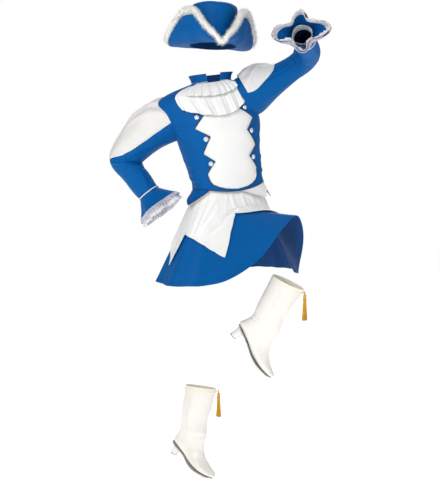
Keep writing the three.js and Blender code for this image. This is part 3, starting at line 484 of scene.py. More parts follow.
def tubeAlong(path, normal, radius, sides=8, closed=False):
    # Points and faces of a cord along a path: rings of radius in the plane of the path's normal and its
    # side.
    first, last = path[:1] * 2 - path[1:2], path[-1:] * 2 - path[-2:-1]
    after = np.roll(path, -1, axis=0) if closed else np.concatenate([path[1:], last])
    before = np.roll(path, 1, axis=0) if closed else np.concatenate([first, path[:-1]])
    tangent = unit(after - before)
    normal = unit(normal - tangent * np.sum(normal * tangent, -1, keepdims=True))
    side = np.cross(tangent, normal)
    rings = path[:, None] + radius * circle(side[:, None], normal[:, None], 2 * np.pi * around(sides))
    if closed:
        return rings.reshape(-1, 3), gridQuads(len(path), sides, True, True), np.empty((0, 3), int)
    return closedRings(rings, path[0], path[-1])


def joinTubes(tubes):
    # Several cords as one set of points, quads and triangles.
    points, quads, triangles, shift = [], [], [], 0
    for p, q, c in tubes:
        points.append(p)
        quads.append(q + shift)
        triangles.append(c + shift)
        shift += len(p)
    return np.concatenate(points), [f for f in (np.concatenate(quads), np.concatenate(triangles)) if len(f)]


def cords(name, paths, material, replaced=()):
    # Cords along several paths as one piece. A path is points, normals, radius and whether it closes.
    points, faces = joinTubes([tubeAlong(p, n, r, closed=closed) for p, n, r, closed in paths])
    dress(name, points, faces, material, replaced, sharp=80)


def spaced(path, normal, step, closed=False):
    # Places at equal steps along a path, with the path's direction and normal there.
    if closed:
        path, normal = np.concatenate([path, path[:1]]), np.concatenate([normal, normal[:1]])
    along = np.concatenate([[0], np.cumsum(np.linalg.norm(np.diff(path, axis=0), axis=-1))])
    at = np.arange(step / 2, along[-1], step)
    place, ahead, out = (np.stack([np.interp(x, along, column) for column in table.T], -1)
                         for x, table in ((at, path), (at + 0.5, path), (at, normal)))
    return place, unit(ahead - place), unit(out)


stitchLook = {"spacing": 3.4, "length": 2.5, "width": 0.65, "height": 0.45}   # mm


def stitches(name, lines, material, spacing=stitchLook["spacing"]):
    # Rows of sewn stitches: a low grain of four square sections for each, lying along the line.
    shape = np.array([[x, y, z] for x, w in ((-1, 0.35), (-0.45, 1), (0.45, 1), (1, 0.35))
                      for y, z in ((-w, -0.6), (w, -0.6), (w * 0.6, 1), (-w * 0.6, 1))])
    faces = np.concatenate([gridQuads(4, 4, ringCols=True), [[3, 2, 1, 0], [12, 13, 14, 15]]])
    local = shape * np.array([stitchLook["length"] / 2, stitchLook["width"] / 2, stitchLook["height"]])
    allPoints = []
    for path, normal, closed in lines:
        place, ahead, out = spaced(path, normal, spacing, closed)
        axes = np.stack([ahead, unit(np.cross(out, ahead)), out], axis=1)
        allPoints.append((place[:, None] + local @ axes).reshape(-1, 3))
    points = np.concatenate(allPoints)
    starts = np.arange(0, len(points), len(shape))
    dress(name, points, [(faces[None] + starts[:, None, None]).reshape(-1, 4)], material, sharp=60)


print("helpers ready")

# The body of the jacket.

jacketCut = {
    "thickness": 2.0,                # mm of sewn cloth
    "hemAtCentre": 6.0,
    "hemAtSide": 24.0,
    "neckHeight": 413.0,
    "squareness": 2.25,              # 2 is an ellipse, more is fuller at the corners
    "foldDepth": 1.8,                # 0 for a smooth jacket
    "pipingRadius": 1.25,
    "collarHeight": 27.0,
}
# Height up the back, middle x and z, roll, yaw, then how far the section reaches left, right, front and
# back.
torsoAt = reader([
    [0, 64, -376, 6, 18, 138, 138, 112, 98],
    [42, 57, -335, 7, 18, 133, 133, 106, 94],
    [89, 47, -289, 8, 19, 138, 138, 112, 96],
    [135, 38, -244, 9, 20, 143, 144, 120, 100],
    [180, 30, -199, 10, 20, 150, 151, 128, 104],
    [233, 21, -147, 11, 19, 158, 160, 131, 108],
    [283, 13, -98, 12, 17, 160, 178, 122, 110],
    [328, 7, -53, 12, 14, 152, 198, 104, 106],
    [363, 3, -18, 11, 12, 140, 212, 88, 97],
    [380, 2, -1, 11, 11, 130, 205, 80, 91],
    [392, 1, 10, 10, 10, 116, 175, 72, 85],
    [400, 0, 18, 9, 9, 100, 140, 65, 77],
    [407, 0, 25, 8, 8, 84, 104, 60, 69],
    [413, 0, 31, 7, 8, 72, 76, 58, 63],
])


def bodyAxes(height):
    # A section's row, its sideways axis (yawed and rolled) and its forward axis (yawed).
    row = torsoAt(height)
    roll, yaw = rad(row[..., 2]), rad(row[..., 3])
    sideways = vec(np.cos(yaw) * np.cos(roll), np.sin(yaw) * np.cos(roll), np.sin(roll))
    return row, sideways, vec(np.sin(yaw), -np.cos(yaw), 0)


def torso(angle, height):
    # Superellipse: middle + sideways * side * sign(c)|c|^p + forward * depth * sign(s)|s|^p, p = 2 /
    # squareness. 0 degrees is the costume's left, 90 the front, 180 the right, 270 the back.
    angle, height = np.broadcast_arrays(np.asarray(angle, float), np.asarray(height, float))
    row, sideways, forward = bodyAxes(height)
    c, s = np.cos(rad(angle)), np.sin(rad(angle))
    power = 2 / jacketCut["squareness"]
    side = np.where(c > 0, row[..., 4], row[..., 5]) * np.sign(c) * np.abs(c) ** power
    depth = np.where(s > 0, row[..., 6], row[..., 7]) * np.sign(s) * np.abs(s) ** power
    return vec(row[..., 0], 0, row[..., 1]) + sideways * side[..., None] + forward * depth[..., None]


def depthInBody(points):
    # How far inside the jacket's surface a point is, in mm: solve for its section, then (1 - f) * reach.
    z, height = points[..., 2], np.interp(points[..., 2], [-376, 31], [0, 413])
    for _ in range(6):
        row, sideways, forward = bodyAxes(np.clip(height, 0, 413))
        rel = points - vec(row[..., 0], 0, row[..., 1])
        a = rel[..., 0] * sideways[..., 0] + rel[..., 1] * sideways[..., 1]
        a = a / np.cos(rad(row[..., 2])) ** 2
        rise = z - a * np.sin(rad(row[..., 2]))
        height = np.clip(np.interp(rise, torsoHeights[:, 1], torsoHeights[:, 0]), -20, 413)
    b = np.sum(rel * forward, -1)
    side, depth = np.where(a > 0, row[..., 4], row[..., 5]), np.where(b > 0, row[..., 6], row[..., 7])
    f = (np.abs(a / side) ** 2.25 + np.abs(b / depth) ** 2.25) ** (1 / 2.25)
    inside = (1 - f) * np.hypot(a, b) / np.maximum(f, 1e-6)
    return np.where((rise > 31) | (rise < -376), -50.0, inside)


heights = np.linspace(0, 413, 200)
torsoHeights = np.stack([heights, torsoAt(heights)[:, 1]], -1)


def hemHeight(angle):
    away = np.minimum(1, np.abs(90 - angle) / 70)
    return lerp(jacketCut["hemAtCentre"], jacketCut["hemAtSide"], smoothStep(away))


def jacketShape(s, t):
    # The torso with its lowest 60 mm lifted to the curved hem: height + hem * max(0, 1 - height / 60).
    angle, height = 360 * (1 - s), t * jacketCut["neckHeight"]
    return torso(angle, height + hemHeight(angle) * np.maximum(0, 1 - height / 60))


# Half the angle of the bib's opening at each height: three teeth a side, closed under the bib's round end.
bibEdge = reader([
    [0, 0.09], [8, 0.09], [10, 15], [18, 27], [30, 36], [44, 40], [80, 43], [126, 26], [160, 43],
    [220, 25], [258, 42], [298, 22], [345, 30], [413, 30],
], straight=True)
toothHeights = [0, 8, 10, 18, 30, 44, 80, 126, 160, 220, 258, 298, 345, 413]


def panel(first, last):
    # The part of the jacket between two angles, either of which may change with the height.
    def angleAt(s, t):
        height = t * jacketCut["neckHeight"]
        return lerp(first(height), last(height), 1 - s)

    def surface(s, t):
        return jacketShape(1 - angleAt(s, t) / 360, t)
    surface.normal = lambda s, t: normalsOf(jacketShape, 1 - angleAt(s, t) / 360, t)
    surface.angleAt = angleAt
    return surface


# Folds of the jacket. u is the angle times 2.4 mm, v the height up the back.
jacketFolds = [
    [415, 62, 8, 150, 11, 2.0, 12], [405, 92, -10, 130, 10, 1.5, -10], [420, 128, 20, 110, 10, 1.2, 8],
    [395, 262, 40, 150, 12, 2.0, 10], [372, 228, 58, 130, 10, 1.3, -8], [350, 190, 75, 120, 12, 1.0, 6],
    [20, 70, -8, 120, 10, 1.8, 10], [28, 110, 12, 130, 10, 1.4, -10], [40, 236, -48, 140, 12, 1.8, 10],
    [30, 186, -30, 120, 10, 1.3, 8], [640, 60, 4, 190, 12, 2.2, 14], [560, 96, 14, 160, 11, 1.7, -12],
    [740, 92, -14, 160, 11, 1.7, 12], [648, 130, -3, 170, 12, 1.4, 10], [520, 250, 60, 160, 13, 1.6, 10],
    [770, 250, -60, 160, 13, 1.6, -10], [648, 330, 2, 160, 14, 1.0, 10],
]


def jacketRelief(surface):
    # Folds and a slow unevenness of the cloth, never under the sewn surface.
    def by(s, t):
        angle, height = surface.angleAt(s, t), t * jacketCut["neckHeight"]
        u = angle * 2.4
        relief = creases(u, height, jacketFolds, wrap=864) + 0.7 * waves(u, height, 120, 3)
        edge = smoothStep(height / 30) * smoothStep((413 - height) / 30)
        return jacketCut["foldDepth"] * edge * np.maximum(relief, -0.3)
    return by


def surfaceWall(surface, s, t, low, high, relief=None):
    # Outer and inner grid of a wall on a surface, from low to high off it, plus a relief.
    ss, tt = np.meshgrid(s, t)
    extra = relief(ss, tt) if relief else 0.0
    normal = normalsOf(surface, ss, tt)
    base = surface(ss, tt)
    return [base + normal * np.asarray(by + extra)[..., None] for by in (high, low)]


def gridSteps(count, knots=()):
    # Even steps from 0 to 1 that also pass through the knots.
    even = np.linspace(0, 1, count + 1)
    knots = np.array(sorted(knots))
    if len(knots):
        even = even[np.min(np.abs(even[:, None] - knots[None]), axis=1) > 0.3 / count]
    return np.unique(np.concatenate([even, knots, [0.0, 1.0]]))


# Sleeves: place, x, y, z of the middle, heading in the picture's plane, how far it points at the viewer,
# and half its width and depth. Both run from inside the shoulder to the cuff.
sleeveRows = {
    "right": [
        [0, -139, 0, -104, 203.5, 0, 84, 78], [1, -175, 0, -118, 203.5, 0, 80, 76],
        [2, -218, 2, -140, 206, 0, 76, 70], [3, -264, 6, -179, 214, 0, 68, 64],
        [4, -307, 9, -231, 238, 0, 59, 58], [5, -325, 8, -263, 261, 2, 61, 56],
        [6, -316, 2, -288, 272, 6, 59, 54], [7, -291, -3, -316, 287, 6, 50, 48],
        [8, -265, -8, -349, 300, 7, 45, 44], [9, -238, -14, -384, 308, 7, 41, 41],
    ],
    "left": [
        [0, 92, 0, -40, 26, 0, 74, 78], [1, 136, 0, -18, 29, 0, 79, 76], [2, 188, 4, 19, 31, 0, 73, 68],
        [3, 250, 8, 51, 36, 0, 53, 56], [4, 304, 10, 85, 34, 8, 45, 50], [5, 336, -2, 110, 30, 36, 46, 49],
        [6, 353, -36, 132, 36, 66, 49, 50], [7, 350, -84, 148, 90, 76, 46, 46],
        [8, 340, -132, 160, 118, 72, 43, 43], [9, 328, -180, 172, 122, 70, 41, 41],
    ],
}


def framesOf(rows):
    # Each row's middle, its side and depth directions carried along unturned, its axis, and its half sizes.
    found, side = [], None
    for place, x, y, z, heading, forward, wide, deep in rows:
        h, f = math.radians(heading), math.radians(forward)
        axis = np.array([math.cos(f) * math.cos(h), -math.sin(f), math.cos(f) * math.sin(h)])
        side = np.cross(axis, (0, 1, 0)) if side is None else side
        side = unit(side - axis * (side @ axis))
        found.append([place, x, y, z, *side, *np.cross(axis, side), *axis, wide, deep])
    return found


def sleeveSurface(rows):
    # Middle + side * wide * cos + depth * deep * sin, with the frame read at the place along the sleeve.
    at = reader(framesOf(rows))

    def surface(s, t):
        f, turn = at(9 * np.asarray(t, float)), rad(360 * np.asarray(s, float))
        return f[..., 0:3] + circle(f[..., 3:6] * f[..., 12:13], f[..., 6:9] * f[..., 13:14], turn)
    surface.frames = at
    return surface


arms = {side: sleeveSurface(rows) for side, rows in sleeveRows.items()}


def depthInSleeve(points, arm):
    # How far inside a sleeve a point is: nearest of 90 sections, then (1 - f) * reach in that section.
    f = arm.frames(np.linspace(0, 9, 90))
    flat = points.reshape(-1, 3)
    near = np.argmin(((flat[:, None] - f[None, :, :3]) ** 2).sum(-1), axis=1)
    f = f[near]
    rel = flat - f[:, :3]
    a, b, c = (np.sum(rel * f[:, k:k + 3], -1) for k in (3, 6, 9))
    reach = np.hypot(a / f[:, 12], b / f[:, 13])
    inside = (1 - reach) * np.hypot(a, b) / np.maximum(reach, 1e-6)
    inside = np.where(reach < 0.05, 40.0, inside)
    return np.where(np.abs(c) > 12, -50.0, inside).reshape(points.shape[:-1])


def cellsOutside(depth, limit):
    # Keeps a cell unless all four of its corners lie deeper than the limit.
    deep = depth > limit
    return ~(deep[:-1, :-1] & deep[1:, :-1] & deep[:-1, 1:] & deep[1:, 1:])


def armholeCells(outer):
    # Cells of the body's cloth that don't lie inside either sleeve.
    return cellsOutside(np.maximum(*(depthInSleeve(outer, arm) for arm in arms.values())), 4.0)


def armCells(outer):
    # Cells of a sleeve that don't lie inside the body, its last column beside its first.
    depth = depthInBody(outer)
    return cellsOutside(np.concatenate([depth, depth[:, :1]], axis=1), 5.0)


neck = jacketCut["neckHeight"]
fronts = {
    "right": panel(lambda h: 90 + bibEdge(h)[..., 0], lambda h: 179.97 + 0 * h),
    "left": panel(lambda h: 0.03 + 0 * h, lambda h: 90 - bibEdge(h)[..., 0]),
}
backPanel = panel(lambda h: 180.03 + 0 * h, lambda h: 359.97 + 0 * h)
teeth = [h / neck for h in toothHeights]
for name, surface, columns, rows in (
    ("front_right", fronts["right"], 56, gridSteps(150, teeth)),
    ("front_left", fronts["left"], 56, gridSteps(150, teeth)),
    ("back", backPanel, 110, gridSteps(120)),
):
    across = np.linspace(0, 1, columns)
    walls = surfaceWall(surface, across, rows, 0.0, jacketCut["thickness"], jacketRelief(surface))
    sew(f"jacket_{name}_satin", walls, blueSatin, keep=armholeCells, lining=blueLiningPaintedShade)

# Navy cord along each toothed edge, and a row of stitches beside it.
toothEdges, toothStitches = [], []
for side, surface in fronts.items():
    s, inward = (1.0, -0.05) if side == "right" else (0.0, 0.05)
    t = gridSteps(400, teeth)
    t = t[(t > 8.5 / neck) & (t < 400 / neck)]
    normal = normalsOf(surface, s, t)
    toothEdges.append((moved(surface, s, t, 1.3), normal, jacketCut["pipingRadius"], False))
    toothStitches.append((moved(surface, s + inward, t, 2.2), normal, False))
print("jacket panels")

# Sleeves and their white insets.

sleeveLook = {"foldDepth": 1.7, "columns": 100, "rows": 130, "insetPuff": 9.0, "weltRadius": 1.1}
# Folds of each sleeve. u is degrees round the sleeve, v is the place along it times 40 mm.
sleeveFolds = {
    "right": [
        [70, 196, 12, 120, 7, 2.6, 8], [60, 214, 4, 130, 7, 2.4, -6], [85, 232, -10, 130, 8, 2.2, 8],
        [50, 250, 18, 120, 8, 1.8, -8], [110, 176, 30, 110, 8, 1.8, 8], [20, 186, -26, 90, 8, 1.6, 6],
        [330, 214, 6, 110, 9, 1.6, -8], [300, 236, -14, 110, 9, 1.4, 8], [60, 130, 62, 110, 10, 1.6, 10],
        [30, 92, 76, 120, 10, 1.5, -8], [350, 110, 100, 120, 10, 1.4, 8], [130, 276, 55, 110, 10, 1.3, 8],
        [250, 290, 120, 100, 10, 1.3, -8], [70, 318, 70, 90, 9, 1.3, 6], [190, 330, 100, 90, 9, 1.2, 6],
    ],
    "left": [
        [90, 214, 10, 110, 7, 2.2, 8], [100, 234, -4, 120, 7, 2.2, -6], [80, 252, 14, 110, 8, 2.0, 8],
        [120, 196, -20, 100, 8, 1.6, 6], [180, 60, 60, 130, 10, 1.6, 8], [140, 96, 78, 140, 10, 1.4, -8],
        [210, 120, 96, 130, 10, 1.4, 8], [270, 90, 80, 120, 10, 1.3, 6], [170, 176, 70, 110, 9, 1.4, 8],
        [40, 228, 30, 90, 8, 1.5, 6], [300, 220, -24, 100, 9, 1.4, -6], [60, 300, 75, 90, 8, 1.3, 6],
        [200, 290, 100, 100, 9, 1.3, -6], [320, 300, 90, 90, 8, 1.2, 6],
    ],
}

# The inset of each sleeve: place along it, middle angle, half its width in degrees.
insetRows = {
    "right": [[0.2, 180, 96], [1, 180, 101], [2, 180, 106], [3, 180, 103],
              [4, 180, 84], [4.7, 180, 56], [5.15, 180, 4]],
    "left": [[0.9, -4, 86], [1.5, 0, 90], [2.1, 0, 84],
             [2.6, 0, 70], [2.95, 0, 52], [3.15, 0, 30], [3.27, 0, 4]],
}
insetReach = {"right": (0.2, 5.12), "left": (1.0, 3.25)}
insetFolds = {
    "right": [
        [0.40, 0.30, 70, 0.62, 0.050, 3.2, 0.03], [0.58, 0.36, 82, 0.66, 0.045, 3.0, -0.03],
        [0.70, 0.30, 96, 0.6, 0.05, 2.6, 0.03], [0.30, 0.42, 60, 0.5, 0.05, 2.6, -0.02],
        [0.50, 0.68, 84, 0.5, 0.06, 2.4, 0.03], [0.62, 0.70, 100, 0.4, 0.05, 2.0, 0.02],
        [0.22, 0.22, 50, 0.4, 0.05, 2.0, 0.02], [0.82, 0.36, 110, 0.4, 0.05, 2.0, 0.02],
    ],
    "left": [
        [0.62, 0.32, 100, 0.6, 0.055, 2.8, 0.03], [0.44, 0.36, 84, 0.62, 0.05, 2.8, -0.03],
        [0.30, 0.30, 70, 0.5, 0.05, 2.4, 0.02], [0.74, 0.40, 112, 0.5, 0.05, 2.2, -0.02],
        [0.54, 0.68, 92, 0.4, 0.06, 2.2, 0.02], [0.2, 0.44, 62, 0.4, 0.05, 2.0, 0.02], ],
}


def sleeveRelief(side):
    # Folds at the bend and along the sleeve, faded at its two ends.
    def by(s, t):
        u, v = 360 * s, 360 * t
        seed = 11 if side == "right" else 12
        relief = creases(u, v, sleeveFolds[side], wrap=360) + 0.5 * waves(u, v, 90, seed)
        row, (first, last) = reader(insetRows[side])(np.clip(9 * t, *insetReach[side])), insetReach[side]
        away = np.abs((u - row[..., 0] + 180) % 360 - 180) - row[..., 1]
        bare = np.where((9 * t > first) & (9 * t < last), smoothStep(away / 12), 1.0)
        ends = smoothStep(t / 0.06) * smoothStep((1 - t) / 0.05)
        return sleeveLook["foldDepth"] * ends * np.minimum(bare, 1) * relief
    return by


sleeveNodes = {
    "right": ["sleeve_right", "sleeve_lower_right"],
    "left": ["sleeve_left", "sleeve_middle_left", "sleeve_lower_left"],
}
for side, arm in arms.items():
    columns, rows = around(sleeveLook["columns"]), gridSteps(sleeveLook["rows"])
    walls = surfaceWall(arm, columns, rows, -2.0, 0.0, sleeveRelief(side))
    sew(f"sleeve_{side}_satin", walls, blueSatin, nodes=sleeveNodes[side], ring=True,
        keep=armCells, lining=blueLiningPaintedShade)


def bulge(x):
    # sin(pi x)^0.7 between 0 and 1.
    return np.maximum(0, np.sin(np.pi * np.clip(x, 0, 1))) ** 0.7


def insetSurface(side):
    # A leaf on the sleeve, raised by puff * bulge(s) * bulge(0.15 + 0.85 t).
    arm, rows, (first, last) = arms[side], reader(insetRows[side]), insetReach[side]

    def onArm(s, t):
        place = lerp(first, last, np.asarray(t, float))
        row = rows(place)
        return (row[..., 0] + row[..., 1] * (2 * s - 1)) / 360, place / 9

    def surface(s, t):
        return moved(arm, *onArm(s, t), sleeveLook["insetPuff"] * bulge(s) * bulge(0.15 + 0.85 * t))
    surface.normal = lambda s, t: normalsOf(arm, *onArm(s, t))
    return surface


insetEdges = []
for side in arms:
    surface = insetSurface(side)

    def relief(s, t, side=side):
        edge = np.minimum(np.minimum(s, 1 - s) / 0.1, np.minimum((1 - t) / 0.08, 1))
        return smoothStep(edge) * 2.2 * (creases(s, t, insetFolds[side]) + 0.4 * waves(s, t, 0.25, 21))
    walls = surfaceWall(surface, np.linspace(0, 1, 72), np.linspace(0, 1, 84), 0.9, 2.9, relief)
    # The insets' grey colour is painted shade of their gathers.
    sew(f"sleeve_inset_{side}_satin", walls, gatheredSatin,
        keep=cellsOutside(depthInBody(walls[0]), 5.0))
    s = np.repeat([0.0, 1.0], 120)
    t = np.concatenate([np.linspace(0.0, 0.985, 120), np.linspace(0.985, 0.0, 120)])
    path, normal = moved(surface, s, t, 1.5), surface.normal(s, t)
    shown = depthInBody(path) < 1
    insetEdges.append((path[shown], normal[shown], 1.5, False))
cords("sleeve_inset_cords", insetEdges, whitePiping)

# A welt where each sleeve meets the jacket: the sleeve's outermost crossing of the torso on each line.
armholes = []
for side, arm in arms.items():
    s, t = around(180), np.linspace(0, 0.55, 220)
    depth = depthInBody(moved(arm, *np.meshgrid(s, t), 0.5))
    last = len(t) - 1 - np.argmax((depth > -1.0)[::-1], axis=0)
    k = np.clip(last, 0, len(t) - 2)
    here, there = depth[k, np.arange(len(s))], depth[k + 1, np.arange(len(s))]
    at = t[k] + (t[k + 1] - t[k]) * np.clip((here + 1) / np.maximum(here - there, 1e-6), 0, 1)
    for _ in range(3):
        at = (np.roll(at, 1) + 2 * at + np.roll(at, -1)) / 4
    armholes.append((moved(arm, s, at, 0.6), normalsOf(arm, s, at), sleeveLook["weltRadius"], True))
cords("armhole_welts", armholes, blueSatin)
print("sleeves")

# Cuffs, their lace and frills.

cuffLook = {"length": 60.0, "frillFrom": 56.0, "frillReach": 28.0}   # mm
cuffRows = {   # mouth radius, oval, wave height in mm, and the angle where the waves start
    "right": {"mouth": 80, "oval": 0, "wave": 9, "phase": 20},
    "left": {"mouth": 70, "oval": 0.14, "wave": 15, "phase": 60},
}


def onEnd(f, along, radius, turn):
    # On a sleeve's last frame: middle + axis * along + (side * cos + depth * sin) * radius.
    return (f[1:4] + f[10:13] * (along + 0 * turn)[..., None]
            + circle(f[4:7], f[7:10], turn) * np.asarray(radius)[..., None])


def cuffShape(side):
    # A cone from the sleeve's end to the mouth, t^1.15, with an oval and four waves growing as t^2.
    cuff, f = cuffRows[side], np.array(framesOf(sleeveRows[side])[-1])

    def shape(s, length):
        turn, t = rad(360 * s), length / cuffLook["length"]
        flare = np.where(t <= 1, np.maximum(0, t) ** 1.15, 1 + np.maximum(0, t - 1) * 0.55)
        lobe = turn - math.radians(cuff["phase"])
        ripple = cuff["mouth"] * cuff["oval"] * np.cos(2 * lobe) + cuff["wave"] * np.cos(4 * lobe)
        radius = lerp(f[13], cuff["mouth"], flare) + ripple * np.clip(t, 0, 1.15) ** 2
        return onEnd(f, length, radius, turn)
    shape.frame = f
    return shape


def between(shape, first, last):
    # The band of a cuff's cone between two lengths from the sleeve's end.
    return lambda s, t: shape(s, lerp(first, last, t))


def cuffRelief(s, t):
    # A slow unevenness that leaves both edges of the cuff in place.
    return smoothStep(t / 0.15) * smoothStep((1 - t) / 0.1) * 0.9 * waves(360 * s, 60 * t, 55, 31)


def spots(places, t, height, wide, tall):
    # A row of oval holes, one in the middle of each whole step of places.
    return ((places % 1 - 0.5) / wide) ** 2 + ((t - height) / tall) ** 2 < 1


cuffCords, mouthCords, ring = [], [], around(180)
for side in cuffRows:
    shape, under = cuffShape(side), [f"cuff_{side}_satin"]
    f, cone = shape.frame, between(shape, 0, 60)
    walls = surfaceWall(between(shape, 0.2, 60), ring, np.linspace(0, 1, 19), -2.0, 0.0, cuffRelief)
    sew(f"cuff_{side}_satin", walls, blueSatin, ring=True)

    # Silver lace band past the cuff's mouth, its edge cut in small scallops with an eyelet in each.
    s, t = np.meshgrid(around(720), np.linspace(0, 1, 15))
    tt = (lerp(60.2, 71.0 + 2.2 * np.abs(np.cos(np.pi * 36 * s)), t) - 60) / 12
    raised = 0.35 * np.cos(2 * np.pi * 72 * s) * np.sin(np.pi * t)
    walls = [moved(between(shape, 60, 72), s, tt, off + raised) for off in (0.2, -1.2)]
    hole = spots(s * 36, t, 0.5, 0.24, 0.2) | spots(s * 72, t, 0.86, 0.22, 0.09)
    cells = ~(hole[:-1] & hole[1:])
    sew(f"cuff_lace_{side}_band", walls, silverLace, ring=True, keep=cells)

    # White frill sewn in the cuff's mouth, gathered in nine big waves and many small ones.
    start, reach = cuffLook["frillFrom"], cuffLook["frillReach"]
    s, t = np.meshgrid(around(540), np.linspace(0, 1, 30))
    length = lerp(start, reach + 57.5 + 3.0 * np.abs(np.cos(np.pi * 54 * s)), t)
    tt = (length - start) / (60 + reach - start)
    grown = np.clip(tt, 0, 1)
    small = 1.3 * grown * np.cos(2 * np.pi * 37 * s + 2 * np.sin(2 * np.pi * 3 * s))
    by = -(3.3 + 6 * np.minimum(1, 2 * grown)) + 5.3 * grown * np.cos(2 * np.pi * 9 * s) + small
    by = np.minimum(by, np.where(length < 62, -2.6, 9))
    walls = [moved(between(shape, start, 60 + reach), s, tt, by + off) for off in (0.35, -0.35)]
    hole = spots(s * 54, t, 0.9, 0.2, 0.035) | spots(s * 54 + 0.5, t, 0.78, 0.2, 0.035)
    cells = ~(hole[:-1] & hole[1:])
    sew(f"cuff_frill_{side}_lace", walls, whiteLace, ring=True, keep=cells)

    # Lace wristlet: a snug band and a small frill where the sleeve ends.
    def wristlet(s, t):
        turn = rad(360 * s)
        wave = t * (4 + 1.5 * np.cos(4 * turn)) + 0.9 * t * np.cos(28 * turn)
        return onEnd(f, lerp(2, 44, t), 32.6 + (f[13] - 35.2) * np.exp(-9 * t) + wave, turn)
    walls = surfaceWall(wristlet, ring, np.linspace(0, 1, 22), -1.0, -0.2)
    sew(f"wrist_lace_{side}_band", walls, whiteLace, ring=True)

    turn = rad(360 * ring)
    cuffCords.append((onEnd(f, -1.2, f[13] + 2.4, turn), circle(f[4:7], f[7:10], turn), 2.3, True))
    mouthCords.append((moved(cone, ring, 0.985, 0.4), normalsOf(cone, ring, 0.98), 1.3, True))
cords("cuff_seam_cords", cuffCords, whitePiping, ["cuff_piping_right", "cuff_piping_left"])
cords("cuff_mouth_cords", mouthCords, silverLace)
print("cuffs and lace")

# Bib, jabot and collar.

bibLook = {"from": 13.0, "to": 400.0, "half": 46.0, "rise": 1.6}
# Shallow pulls of the bib. u is 200 mm from side to side, v the height.
bibFolds = [
    [100, 60, 6, 150, 14, 0.9, 8], [100, 150, -4, 150, 16, 0.8, -10], [70, 236, 14, 120, 16, 0.8, 8],
    [130, 214, -12, 120, 15, 0.7, 8],
]


def bibHalf(t):
    # Half the bib's angle, which shrinks with sqrt(t) towards the round end.
    return bibLook["half"] * np.minimum(1, 0.3 + np.sqrt(np.maximum(0, t)) * 2.4)


def bibShape(s, t):
    # The torso between 90 +/- half.
    return torso(90 + bibHalf(t) * (1 - 2 * s), lerp(bibLook["from"], bibLook["to"], t))


def bibRelief(s, t):
    # Softly crowned where it shows between the teeth, with a few shallow pulls from side to side.
    height = lerp(bibLook["from"], bibLook["to"], t)
    shown = smoothStep((bibEdge(height)[..., 0] - np.abs(bibHalf(t) * (1 - 2 * s)) - 1) / 9)
    pulls = creases(s * 200, height, bibFolds)
    return shown * (bibLook["rise"] + pulls + 0.25 * waves(s * 200, height, 60, 41))


sew("bib_satin", surfaceWall(bibShape, np.linspace(0, 1, 90), np.linspace(0, 1, 120), -3.4, -1.6, bibRelief),
    whiteSatin)

# White cord round the bib's round end, just inside the navy one.
roundEnd = []
for side, surface in fronts.items():
    s, t = float(side == "right"), np.linspace(9 / neck, 62 / neck, 90)
    path = moved(surface, s, t, 0.6)
    roundEnd.append((path + unit(torso(90.0, 60.0) - path) * 3.0, normalsOf(surface, s, t), 1.6, False))
cords("bib_edge_cord", roundEnd, whitePiping)
cords("tooth_edge_cords", toothEdges, navyPiping)


def jabotTier(top, bottom, corner, halfTop, halfBottom, out, fullness, waveCount, depth):
    # Hangs from height top to bottom + corner |x|^1.6, stands off the torso and waves as cos(pi waves x).
    def low(x):
        return bottom + corner * np.abs(x) ** 1.6

    def base(s, t):
        x = 1 - 2 * s
        return torso(90 + x * lerp(halfBottom, halfTop, t), lerp(low(x), top, t))

    def surface(s, t):
        x, falling = 1 - 2 * s, 1 - t
        stand = lerp(3.0, out, np.minimum(1, 8 * falling))
        pleat = np.cos(np.pi * waveCount * x) + 0.25 * np.cos(np.pi * 3.1 * waveCount * x + 1.3)
        by = stand + fullness * falling * (1 - 0.5 * x * x) + depth * falling * pleat
        e = np.clip(t, 0.02, 0.98)
        return base(s, t) + normalsOf(base, s, e) * by[..., None]
    return surface


jabots = {
    "jabot_fall": (jabotTier(404, 284, 46, 46, 41, 5, 8, 6, 3.5), 190, 70),
    "jabot_ruffle": (jabotTier(409, 352, 22, 27, 31, 9.5, 13, 8, 3.5), 200, 44),
}
for name, (tier, columns, rows) in jabots.items():
    sew(f"{name}_cloth", surfaceWall(tier, np.linspace(0, 1, columns), np.linspace(0, 1, rows), 0.0, 1.2),
        whiteSatin, keep=armholeCells)
s, towardsViewer = np.linspace(0.01, 0.99, 260), np.tile([0.0, -1.0, 0.2], (260, 1))
jabotEdges = [(moved(jabots[name][0], s, t, 0.6), towardsViewer, 0.9, False)
              for name, t in (("jabot_fall", 0.012), ("jabot_ruffle", 0.02))]
cords("jabot_edge_cords", jabotEdges, whitePiping)

collarGap = 16


def collarShape(s, t):
    # A band up from the neck's edge that leans out by 9 t^2.
    angle = lerp(90 - collarGap, -270 + collarGap, s)
    foot = torso(angle, neck + 0 * angle)
    away = foot - np.array([0, 0, 31.0])
    away[..., 2] = 0
    rise = unit(np.array([-0.1, 0, 1.0])) * (2.7 + jacketCut["collarHeight"] * t)[..., None]
    return foot + rise + unit(away) * (9 * t * t)[..., None]


def collarRelief(s, t):
    # A slow unevenness that leaves the collar's edges in place.
    return 0.5 * waves(s * 400, t * 27, 60, 51) * smoothStep(t / 0.3) * smoothStep((1 - t) / 0.2)


walls = surfaceWall(collarShape, np.linspace(0, 1, 160), np.linspace(0, 1, 16), -1.0, 1.0, collarRelief)
sew("collar_satin", walls, blueSatin, lining=blueLiningPaintedShade)
s = np.linspace(0, 1, 200)
footEdge = collarShape(s, 0 * s) - np.array([0, 0, 1.6])
outwards = normalsOf(collarShape, s, 0.5 + 0 * s)
cords("collar_edge_cord", [(collarShape(s, 1.0 + 0 * s), outwards, 1.3, False)], navyPiping)
cords("neck_seam_cord", [(footEdge, outwards, 1.5, False)], whitePiping)
print("bib, jabot and collar")

# Buttons.

